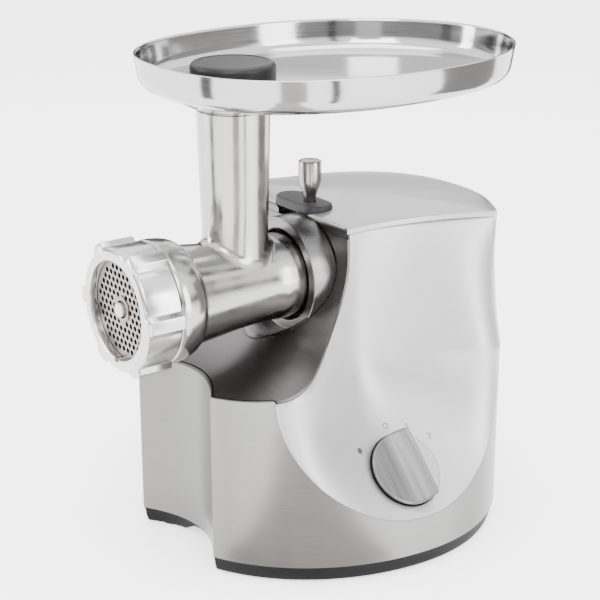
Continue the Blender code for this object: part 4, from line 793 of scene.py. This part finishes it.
def make_lid(m):
    """Crowned lid whose edge rolls down over the rear cover and the cove."""
    outline, centre = top_outline(), (-8.0, 45.0)

    def level(drop, shrink, thickness):
        loop = []
        for x, y, radius, lip, wall, foot in outline:
            if drop[1] is None:
                x, y = foot
            dx, dy = x - centre[0], y - centre[1]
            size = math.hypot(dx, dy)
            k = max(0.0, size - shrink * wall - radius * (1 - drop[0])) / size
            z = lip if drop[1] is None else TOP_Z - radius * (1 - drop[1]) - thickness
            loop.append((centre[0] + dx * k, centre[1] + dy * k, z))
        return loop

    def crown_rings(loop, thickness, shares):
        rings = []
        for share in shares:
            height = TOP_Z + TOP_CROWN * (1 - share ** 2) - thickness
            rings.append([(centre[0] + (x - centre[0]) * share,
                           centre[1] + (y - centre[1]) * share, height) for x, y, _ in loop])
        return rings

    bm = bmesh.new()
    rims = []
    for shrink, thickness, arc in ((0.0, 0.0, 8), (1.0, CASE_WALL, 4)):
        loops = [level((1.0, None), shrink, thickness)]
        for step in range(arc + 1):
            a = math.pi / 2 * step / arc
            loops.append(level((math.cos(a), math.sin(a)), shrink, thickness))
        loops += crown_rings(loops[-1], thickness, (0.93, 0.84, 0.72, 0.58, 0.42, 0.24))
        rings = [[bm.verts.new(p) for p in loop] for loop in loops]
        for low, high in zip(rings, rings[1:]):
            bridge(bm, low, high)
        peak = bm.verts.new((*centre, TOP_Z + TOP_CROWN - thickness))
        for i in range(len(rings[-1])):
            bm.faces.new((rings[-1][i], rings[-1][(i + 1) % len(rings[-1])], peak))
        rims.append(rings[0])
    bridge(bm, *rims)
    slot = prism(pad_outline(-0.4), "Z", 175, 190)
    lid = piece("lid_skin", bm, m["lid"], "housing", "top_cover", cuts=(slot,),
                sharp=40)
    repaint(lid, m["cove"], lambda p: p.y < COVE_BACK_Y + 0.8)


def pad_outline(inset):
    return round_ended((PAD_X, PAD_Y), PAD_HALF, PAD_RADIUS - inset, 24)


def make_lock(m):
    """Lock pad set in the lid, and the turned pin that stands through it."""
    loops = []
    for z, inset in ((182.3, 0.0), (186.4, 0.0), (187.0, 0.2), (187.4, 0.8)):
        loops.append([(x, y, z) for x, y in pad_outline(inset)])
    hole = disc(3.7, 170, 195, "Z", (PIN_X, PIN_Y), 48)
    pocket = disc(6.9, 170, 185.6, "Z", (PIN_X, PIN_Y), 48)
    piece("lock_pad_skin", loft(loops), m["pad"], "housing", "lock_pad",
          cuts=(pocket, hole), sharp=30)
    profile = [
        (1.9, 169.2), (2.2, 169.8), (2.2, 176.0), (5.2, 176.0), (5.2, 176.8), (3.2, 176.8),
        (3.2, 187.5), (3.5, 189.6), (4.4, 193.0), (5.6, 196.0), (6.35, 198.4), (6.6, 200.4),
        (6.6, 210.2), (6.4, 211.0), (5.8, 211.4), (4.9, 211.5),
    ]
    piece("lock_pin_skin", lathe(profile, "Z", (PIN_X, PIN_Y), 64), m["pin"], "lock_pin",
          "lock_pin")


# --- head ---
HEAD_PROFILE = [
    (31.2, -115.6), (31.4, -115.0), (31.4, -104.9), (33.4, -104.8), (34.1, -104.0),
    (34.3, -102.5), (34.3, -99.5), (34.0, -96.5), (33.5, -93.8), (32.8, -91.3), (31.8, -89.2),
    (30.6, -87.9), (29.4, -87.3), (28.8, -86.3), (28.3, -83.5), (27.5, -78.5), (26.8, -73.0),
    (26.1, -67.0), (25.3, -60.0),
    (24.7, -53.0), (24.2, -46.0), (23.9, -40.0), (23.75, -35.5),
    (23.85, -32.0), (24.15, -29.5), (24.3, -27.5), (24.3, NECK_END_Y),
]


def flowing(profile, steps=4):
    """The same profile with more points, on a curve that passes through every given one."""
    out = []
    for i in range(len(profile) - 1):
        p0, p1 = profile[max(i - 1, 0)], profile[i]
        p2, p3 = profile[i + 1], profile[min(i + 2, len(profile) - 1)]
        for k in range(steps):
            t = k / steps
            out.append(tuple(
                0.5 * (2 * b + (c - a) * t + (2 * a - 5 * b + 4 * c - d) * t * t
                       + (3 * b - a - 3 * c + d) * t ** 3)
                for a, b, c, d in zip(p0, p1, p2, p3)))
    return out + [profile[-1]]


TUBE_PROFILE = [(17.9, 172.0), (18.6, 195.0), (19.3, 220.0), (19.85, 246.0),
                (19.9, TUBE_SHOULDER_Z), (19.3, TUBE_SHOULDER_Z + 0.4),
                (19.3, TUBE_TOP_Z - 0.5), (18.9, TUBE_TOP_Z)]


def profile_value(profile, at):
    """First value of a (value, place) profile at a place, by straight lines."""
    for (a, low), (b, high) in zip(profile, profile[1:]):
        if low <= at <= high:
            return a + (b - a) * (at - low) / max(high - low, 1e-9)
    return profile[0][0] if at < profile[0][1] else profile[-1][0]


def barrel_height(x, y):
    """Height of the barrel's upper face over a point."""
    radius = profile_value(HEAD_PROFILE, y)
    return HEAD_Z + math.sqrt(max(0.0, radius ** 2 - min(abs(x), radius) ** 2))


def tube_with_fillet(segments=96, fillet=5.0, steps=8):
    """Feed tube whose foot flares into the barrel with a cast fillet."""
    loops = [[] for _ in range(steps + 3)]
    for i in range(segments):
        t = 2 * math.pi * i / segments
        c, s = math.cos(t), math.sin(t)
        foot_radius = profile_value(TUBE_PROFILE, 176.0)
        lift = fillet * (0.62 + 0.38 * abs(s))
        edge = foot_radius + lift
        buried = barrel_height(edge * c, TUBE_Y + edge * s) - 3.0
        loops[0].append((edge * 0.8 * c, TUBE_Y + edge * 0.8 * s, min(buried, 166.0)))
        loops[1].append((edge * c, TUBE_Y + edge * s,
                         barrel_height(edge * c, TUBE_Y + edge * s) - 0.5))
        for k in range(steps + 1):
            out = lift * (1 - k / steps)
            r = foot_radius + out
            rise = lift - math.sqrt(max(0.0, lift ** 2 - (lift - out) ** 2))
            z = barrel_height(r * c, TUBE_Y + r * s) + rise
            loops[2 + k].append((r * c, TUBE_Y + r * s, z - 0.12 * (1 - k / steps)))
    for radius, z in TUBE_PROFILE[1:]:
        loops.append([(x, y, z) for x, y in circle(radius, segments, (0, TUBE_Y))])
    return loft(loops)


def make_head(m):
    """Cast head: barrel and feed tube in one, bored through and slotted for the pin."""
    bore = [(27.2, -130), (27.2, -104.5), (BORE_RADIUS, -104.5), (BORE_RADIUS, 0.2),
            (8.4, 0.2), (8.4, 30)]
    throat = [(14.6, 150.0), (15.6, 270.0)]
    cuts = (
        ("UNION", tube_with_fillet()),
        lathe(bore, "Y", (0, HEAD_Z), 96),
        lathe(throat, "Z", (0, TUBE_Y), 96),
        box((PIN_X - 2.6, PIN_X + 2.6), (PIN_Y - 3.0, 30), (168.4, 180)),
    )
    barrel = HEAD_PROFILE[:6] + flowing(HEAD_PROFILE[6:-1]) + HEAD_PROFILE[-1:]
    piece("head_skin", lathe(barrel, "Y", (0, HEAD_Z), 128), m["cast"], "head",
          "grinder_head", cuts=cuts, sharp=38)


def make_nut(m):
    """Ring nut: straight grip ribs, a bevelled front and a small notch in its mouth."""
    half_top, half_foot, fill = math.radians(5.4), math.radians(8.4), 12
    angles, radii = [], []
    step = 2 * math.pi / NUT_RIBS
    rise = NUT_RIB_RADIUS - NUT_RADIUS
    for rib in range(NUT_RIBS):
        middle = rib * step
        section = ((-half_foot - 0.02, 0.0), (-half_foot, 0.12), (-half_top - 0.012, 0.86),
                   (-half_top, 0.97), (-half_top + 0.03, 1.0), (half_top - 0.03, 1.0),
                   (half_top, 0.97), (half_top + 0.012, 0.86), (half_foot, 0.12),
                   (half_foot + 0.02, 0.0))
        for offset, share in section:
            angles.append(middle + offset)
            radii.append(NUT_RADIUS + rise * share)
        for i in range(1, fill):
            angles.append(middle + half_foot + 0.02 + (step - 2 * half_foot - 0.04) * i / fill)
            radii.append(NUT_RADIUS)

    def loop(y, bevel=0.0, radius=None):
        points = []
        for angle, outside in zip(angles, radii):
            r = outside - bevel if radius is None else radius
            points.append((r * math.cos(angle), y, HEAD_Z + r * math.sin(angle)))
        return points

    lip = PLATE_FRONT_Y - 0.3
    loops = [
        loop(NUT_FRONT_Y, 2.3), loop(NUT_FRONT_Y + 0.35, 1.3), loop(NUT_FRONT_Y + 1.2, 0.35),
        loop(NUT_FRONT_Y + 2.2), loop(NUT_BACK_Y - 0.7), loop(NUT_BACK_Y, 0.6),
        loop(NUT_BACK_Y, radius=32.0), loop(lip, radius=32.0), loop(lip, radius=OUTLET_RADIUS),
        loop(NUT_FRONT_Y + 1.0, radius=OUTLET_RADIUS),
        loop(NUT_FRONT_Y + 0.3, radius=OUTLET_RADIUS + 0.3),
        loop(NUT_FRONT_Y, radius=OUTLET_RADIUS + 1.0),
    ]
    notch = disc(2.0, NUT_FRONT_Y - 2, lip + 2, "Y", (0, HEAD_Z - OUTLET_RADIUS), 24)
    piece("ring_nut_skin", loft(loops, closed=True), m["nut"], "ring_nut", "ring_nut",
          cuts=(notch,), sharp=32)


def make_plate(m):
    """Mincing plate: rows of holes on a triangular pitch round a six-sided collar."""
    front, back = PLATE_FRONT_Y, PLATE_FRONT_Y + PLATE_THICKNESS
    pitch, hole_radius, sides, rows = 4.25, 1.5, 12, 8
    nearest_hole, farthest_hole = 8.4, 25.3
    hub_radius, collar_radius = 5.0, 8.0
    holes = bmesh.new()
    for row in range(-rows, rows + 1):
        for column in range(-rows, rows + 1):
            x = pitch * (column + 0.5 * (row % 2))
            z = pitch * row * math.sqrt(3) / 2
            if not nearest_hole < math.hypot(x, z) < farthest_hole:
                continue
            ends = [[holes.verts.new((a, y, b)) for a, b in circle(hole_radius, sides,
                                                                   (x, HEAD_Z + z))]
                    for y in (front - 2, back + 2)]
            holes.faces.new(ends[0])
            holes.faces.new(list(reversed(ends[1])))
            bridge(holes, *ends)
    rim = PLATE_RADIUS
    profile = [(rim - 0.4, front), (rim, front + 0.4), (rim, back)]
    centre = (0, HEAD_Z)
    hub = disc(hub_radius, front - 2, back + 2, "Y", centre, 40)
    piece("plate_skin", lathe(profile, "Y", centre), m["plate"], "head",
          "mincer_plate", cuts=(holes, hub), sharp=30)
    collar = []
    for i in range(6):
        t = math.pi / 6 + math.pi * i / 3
        collar.append((collar_radius * math.cos(t), HEAD_Z + collar_radius * math.sin(t)))
    hexagon = prism(collar, "Y", front - 0.7, front + 0.5)
    hub = disc(hub_radius - 0.1, front - 2, back + 2, "Y", centre, 40)
    piece("plate_hub", hexagon, m["plate"], "head", cuts=(hub,),
          bevel=0.25, sharp=30)


def tray_loop(z, inset, count=144):
    """The tray's oval plan at a height, squarer at the front than at the back."""
    loop = []
    for i in range(count):
        t = 2 * math.pi * i / count
        c, s = math.cos(t), math.sin(t)
        power = 2.4 if s < 0 else 2.0
        length = (TRAY_FRONT if s < 0 else TRAY_BACK) - inset
        x = math.copysign(abs(c) ** (2 / power), c) * (TRAY_HALF_WIDTH - inset)
        y = TRAY_Y + math.copysign(abs(s) ** (2 / power), s) * length
        loop.append((x, y, z))
    return loop


def tray_floor(edge, hole_z, rings=8):
    """Loops that run from the foot of the tray's wall to the hole over the tube."""
    hole = [(x, y, hole_z) for x, y in circle(TRAY_HOLE_RADIUS, len(edge), (0, TUBE_Y))]
    loops = [[between(p, q, k / rings) for p, q in zip(edge, hole)] for k in range(1, rings)]
    return loops + [hole]


def make_tray(m):
    """Pressed tray: hemmed rim, upright wall, and a floor that falls to the tube."""
    hole_z, sheet, rim = TUBE_SHOULDER_Z + 0.7, 1.2, TRAY_RIM_Z
    wall = [(rim - drop, inset) for drop, inset in (
        (0.4, 0.05), (1.8, 0.35), (6.4, 1.1), (10.4, 1.7), (13.4, 2.25),
        (15.4, 3.1), (17.2, 4.7), (18.5, 7.2), (19.5, 11.0))]
    under = [tray_loop(rim - 0.05, 0.5)] + [tray_loop(z, inset) for z, inset in wall]
    under += tray_floor(under[-1], hole_z)
    above = [tray_loop(rim, 0.9), tray_loop(rim - 0.3, 1.35), tray_loop(rim - 1.6, 1.6)]
    above += [tray_loop(z + 0.35, inset + sheet) for z, inset in wall[2:-1]]
    above += [tray_loop(wall[-1][0] + sheet, wall[-1][1] + sheet)]
    above += tray_floor(above[-1], hole_z + sheet)
    piece("tray_skin", loft(under + above[::-1], closed=True), m["tray"], "tray", "feed_tray",
          sharp=60)


def make_pusher(m):
    """Food pusher: a rod with a round chin, and a cap rounded at its top edge."""
    cap, top = PUSHER_RADIUS, PUSHER_TOP_Z
    profile = [
        (12.4, 172.5), (13.2, 172.8), (13.7, 174.0), (14.1, 180.0), (14.1, 254.9),
        (cap - 0.7, 254.9), (cap - 0.2, 255.2), (cap, 256.0), (cap, top - 3.3),
        (cap - 0.25, top - 2.0), (cap - 0.9, top - 1.0), (cap - 1.9, top - 0.3),
        (cap - 3.3, top), (cap - 4.1, top), (cap - 4.5, top - 0.4), (0.02, top - 0.6),
    ]
    piece("pusher_skin", lathe(profile, "Z", (0, TUBE_Y), 96), m["pusher"], "pusher", "pusher")


# --- controls ---
def knob_height(y):
    """Height of the knob's face: a scooped ramp up to the crest, then a steep fall."""
    low, crest, height = 2.0, 6.2, 10.6
    if y > crest:
        t = min(1.0, (y - crest) / 5.6)
        return low + (height - low) * (1 - t * t * (3 - 2 * t))
    t = max(0.0, 1 - (crest - y) / 14.2)
    return low + (height - low) * t ** 1.7


def make_knob(m):
    """Round knob with a ridge across it, in a near-black ring sunk in the dish that is painted
    shade for the gap round it.
    """
    bm = bmesh.new()
    rings, segments, edge_drop, foot_z = 40, 128, 0.5, 0.6
    radius = KNOB_RADIUS - 0.1
    centre = bm.verts.new((0, 0, knob_height(0)))
    rows = []
    for i in range(1, rings + 1):
        drop = edge_drop * (i == rings)
        rows.append([bm.verts.new((x, y, knob_height(y) - drop))
                     for x, y in circle(radius * i / rings, segments)])
    rows.append([bm.verts.new((x, y, foot_z)) for x, y in circle(radius, segments)])
    for k in range(segments):
        bm.faces.new((centre, rows[0][k], rows[0][(k + 1) % segments]))
    for low, high in zip(rows, rows[1:]):
        bridge(bm, high, low)
    bm.faces.new(rows[-1][::-1])
    bm.transform(knob_frame())
    knob = piece("knob_skin", bm, m["knob"], "knob", "control_knob", sharp=50)
    flat_y = KNOB_CENTRE.y + 8.5
    repaint(knob, m["panel"], lambda p: p.y > flat_y)
    # painted shade: the near-black ring fills the gap round the knob where its shadow falls
    outside, inside, top = KNOB_RADIUS + 0.45, KNOB_RADIUS - 0.9, 0.45
    seat = lathe([(outside, -0.6), (outside, top), (inside, top), (inside, -0.6)], "Z", (0, 0),
                 128, closed=True)
    seat.transform(knob_frame())
    piece("knob_gap_shade_ring", seat, m["gap"], "housing")


def dial_point(x, y, lift):
    """A point printed on the dish, from its place in the knob's own plane."""
    base = knob_frame() @ Vector((x, y, 0))
    normal = Vector((math.sin(KNOB_TILT), 0, math.cos(KNOB_TILT)))

    def is_under(height):
        point = base + normal * height
        return point.x < scoop_x(point.y, point.z)

    return base + normal * (halve(-12.0, 12.0, is_under)[0] + lift)


def stroke(path, width, centre, closed=False):
    """A printed stroke along a path of small steps round a centre in the dial's plane."""
    bm = bmesh.new()
    count = len(path)
    rows = []
    for i, (x, y) in enumerate(path):
        if closed:
            before, after = path[i - 1], path[(i + 1) % count]
        else:
            before, after = path[max(i - 1, 0)], path[min(i + 1, count - 1)]
        along = Vector((after[0] - before[0], after[1] - before[1])).normalized()
        side = Vector((-along.y, along.x)) * width / 2
        row = []
        for sign, lift in ((1, 0.03), (-1, 0.03), (-1, -0.15), (1, -0.15)):
            place = (centre[0] + x + sign * side.x, centre[1] + y + sign * side.y)
            row.append(bm.verts.new(dial_point(*place, lift)))
        rows.append(row)
    for here, after in zip(rows, rows[1:]):
        bridge(bm, after, here)
    if closed:
        bridge(bm, rows[0], rows[-1])
    else:
        bm.faces.new(rows[0])
        bm.faces.new(list(reversed(rows[-1])))
    return bm


def make_marks(m):
    """Generic dial marks: a dot for reverse, a ring for off, and two speeds."""
    reach = KNOB_RADIUS + 7.0

    def place(degrees):
        t = math.radians(degrees)
        return -reach * math.cos(t), reach * math.sin(t)

    ring_path, dot_path = circle(1.5, 32), circle(0.825, 32)
    one = [(-1.0, -0.75), (-1.55, 0.0), (-0.5, 0.0), (0.6, 0.0), (1.7, 0.0)]
    two = [(-0.9, -0.85)]
    for i in range(9):
        t = math.radians(200 - 28 * i)
        two.append((-0.75 - 0.85 * math.sin(t), 0.85 * math.cos(t)))
    two += [(1.6, -0.9), (1.6, 0.0), (1.6, 0.95)]
    marks = (("mark_reverse", dot_path, 1.9, -50, True), ("mark_off", ring_path, 0.5, 6, True),
             ("mark_one", one, 0.5, 32, False), ("mark_two", two, 0.45, 60, False))
    for name, path, width, degrees, closed in marks:
        piece(name, stroke(path, width, place(degrees), closed), m["ink"], "housing")


def make_gland(m):
    """Round cord gland at the back."""
    back = BODY_CENTRE_Y + BODY_BACK + 0.3
    profile = rounded([(6.1, back - 10), (6.1, back), (8.6, back), (8.0, back + 2.6),
                       (4.4, back + 2.6), (3.4, back - 0.6), (3.4, back - 10)], 0.5)
    piece("cord_gland_skin", lathe(profile, "Y", (0, GLAND_Z), 64, closed=True), m["pusher"],
          "housing", "cord_gland")


def make_spring(m):
    """Spring over the pin's flange."""
    low, high, turns, wire, radius = 177.5, 185.1, 3.0, 0.42, 4.35
    steps, sides, loops = 150, 12, []
    for i in range(steps + 1):
        t = 2 * math.pi * turns * i / steps
        z = low + (high - low) * i / steps
        loops.append([(PIN_X + (radius + out) * math.cos(t), PIN_Y + (radius + out) * math.sin(t),
                       z + up) for out, up in circle(wire, sides)])
    spring = piece("lock_spring_skin", loft(loops), m["steel"], "housing", "lock_spring",
                   sharp=60)
    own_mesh(spring)


# --- pieces that keep their CAD solids ---
CARRIED = {
    "steel": ("front_bearing", "rear_bearing", "output_shaft",
              "intermediate_shaft", "armature_shaft", "cutter_blade", "output_gear",
              "intermediate_pinion", "motor_pinion"),
    "dull_cast": ("neck_socket", "gearbox_housing", "gearbox_cover", "auger"),
    "brass": ("output_bearing", "pin_guide", "brush_holder_left", "brush_holder_right"),
    "zinc": ("motor_front_bracket", "motor_rear_bracket", "thermal_cutout",
             "base_screw_front_left", "base_screw_front_right", "base_screw_rear_left",
             "base_screw_rear_right"),
    "lamination": ("stator_core", "armature_core"),
    "winding": ("field_coil_upper", "field_coil_lower"),
    "copper": ("commutator",),
    "carbon": ("carbon_brush_left", "carbon_brush_right"),
    "nylon": ("auger_washer", "intermediate_gear", "cooling_fan", "switch_stem",
              "terminal_block"),
    "gap": ("rotary_switch",),
    "board": ("control_board",),
    "capacitor": ("suppression_capacitor",),
}


def dress_carried(m):
    for key, names in CARRIED.items():
        for name in names:
            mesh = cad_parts[name].data
            mesh.materials.clear()
            mesh.materials.append(m[key])


# --- stage ---
def add_area(name, place, target, size, watts):
    light = bpy.data.lights.new(name, "AREA")
    light.shape = "RECTANGLE"
    light.size, light.size_y = size
    light.energy = watts
    obj = bpy.data.objects.new(name, light)
    obj.location = place
    obj.rotation_euler = (Vector(target) - Vector(place)).to_track_quat("-Z", "Y").to_euler()
    bpy.context.scene.collection.objects.link(obj)


def add_dark(name, corners, tone):
    """A dark sheet of the stage, seen only in the object's polished metal."""
    bm = bmesh.new()
    bm.faces.new([bm.verts.new(corner) for corner in corners])
    mesh = bpy.data.meshes.new(name)
    bm.to_mesh(mesh)
    bm.free()
    sheet = bpy.data.objects.new(name, mesh)
    bpy.context.scene.collection.objects.link(sheet)
    mesh.materials.append(finish_material("card_cloth", (tone, tone * 0.97, tone * 0.93), 0.8,
                                          size=20, specular=0.1))
    sheet.visible_camera = False
    sheet.visible_shadow = False
    sheet.visible_diffuse = False


def make_card(turn, reach, width, height, tone):
    """A card standing beside the object, facing it."""
    middle = Vector((reach * math.cos(turn), reach * math.sin(turn), 0))
    side = Vector((-math.sin(turn), math.cos(turn), 0)) * width / 2
    add_dark("card", [middle + sign * side + Vector((0, 0, z))
                      for sign, z in ((-1, 0.0), (1, 0.0), (1, height), (-1, height))], tone)


def make_mat(turn, near, far, width, tone):
    """A strip of dark mat on the floor, running away from the object."""
    along = Vector((math.cos(turn), math.sin(turn), 0))
    side = Vector((-along.y, along.x, 0)) * width / 2
    lift = Vector((0, 0, 0.001))
    add_dark("mat", [along * reach + sign * side + lift
                     for reach, sign in ((near, -1), (far, -1), (far, 1), (near, 1))], tone)


def make_floor():
    bm = bmesh.new()
    bmesh.ops.create_grid(bm, x_segments=2, y_segments=2, size=FLOOR_HALF)
    mesh = bpy.data.meshes.new("floor")
    bm.to_mesh(mesh)
    bm.free()
    floor = bpy.data.objects.new("floor", mesh)
    bpy.context.scene.collection.objects.link(floor)
    mat, nodes, links, bsdf = node_tools("pale_floor")
    noise = stretched_noise(nodes, links, (1, 1, 1), 3.0)
    tones = ramp(nodes, links, noise.outputs["Fac"], ((NOISE_LOW, (0.93, 0.93, 0.93)),
                                                      (NOISE_HIGH, (0.95, 0.95, 0.95))))
    links.new(tones.outputs["Color"], bsdf.inputs["Base Color"])
    bsdf.inputs["Roughness"].default_value = 0.6
    bsdf.inputs["Specular IOR Level"].default_value = 0.15
    links.new(tones.outputs["Color"], bsdf.inputs["Emission Color"])
    bsdf.inputs["Emission Strength"].default_value = FLOOR_GLOW
    mesh.materials.append(mat)


def make_sky():
    world = bpy.data.worlds.new("studio")
    bpy.context.scene.world = world
    world.use_nodes = True
    nodes, links = world.node_tree.nodes, world.node_tree.links
    coords = nodes.new("ShaderNodeTexCoord")
    split = nodes.new("ShaderNodeSeparateXYZ")
    links.new(coords.outputs["Generated"], split.inputs["Vector"])
    height = nodes.new("ShaderNodeMapRange")
    height.inputs["From Min"].default_value = -0.1
    height.inputs["From Max"].default_value = 1.0
    links.new(split.outputs["Z"], height.inputs["Value"])
    sky = ramp(nodes, links, height.outputs["Result"], SKY)
    links.new(sky.outputs["Color"], nodes["Background"].inputs["Color"])
    nodes["Background"].inputs["Strength"].default_value = SKY_STRENGTH


def make_stage():
    """Pale floor and sky, with dark cards and mats that give the metal its streaks."""
    make_floor()
    for turn, *sizes in DARK_CARDS:
        make_card(math.radians(turn), *sizes)
    for turn, *sizes in DARK_MATS:
        make_mat(math.radians(turn), *sizes)
    make_sky()
    for softbox in SOFTBOXES:
        add_area(*softbox)


def make_camera():
    """The photograph's view, from its direction, distance and shift across the picture."""
    sin_a, cos_a = math.sin(VIEW_AZIMUTH), math.cos(VIEW_AZIMUTH)
    sin_e, cos_e = math.sin(VIEW_ELEVATION), math.cos(VIEW_ELEVATION)
    forward = Vector((-sin_a * cos_e, cos_a * cos_e, -sin_e))
    right = Vector((cos_a, sin_a, 0))
    up = right.cross(forward)
    data = bpy.data.cameras.new("camera")
    data.lens = LENS_MM
    data.sensor_width = SENSOR_MM
    data.clip_start = 0.01
    camera = bpy.data.objects.new("camera", data)
    turn = Matrix((right, up, -forward)).transposed().to_4x4()
    place = VIEW_TARGET + right * VIEW_RIGHT + up * VIEW_UP - forward * VIEW_DISTANCE
    camera.matrix_world = Matrix.Translation(place) @ turn
    bpy.context.scene.collection.objects.link(camera)
    bpy.context.scene.camera = camera


def build():
    m = make_materials()
    for make in (make_casing, make_base, make_cove, make_collar, make_panel, make_rear_cover,
                 make_lid, make_lock, make_head, make_nut, make_plate, make_tray, make_pusher,
                 make_knob, make_marks, make_gland, make_spring, dress_carried):
        make(m)
    make_stage()
    make_camera()


build()
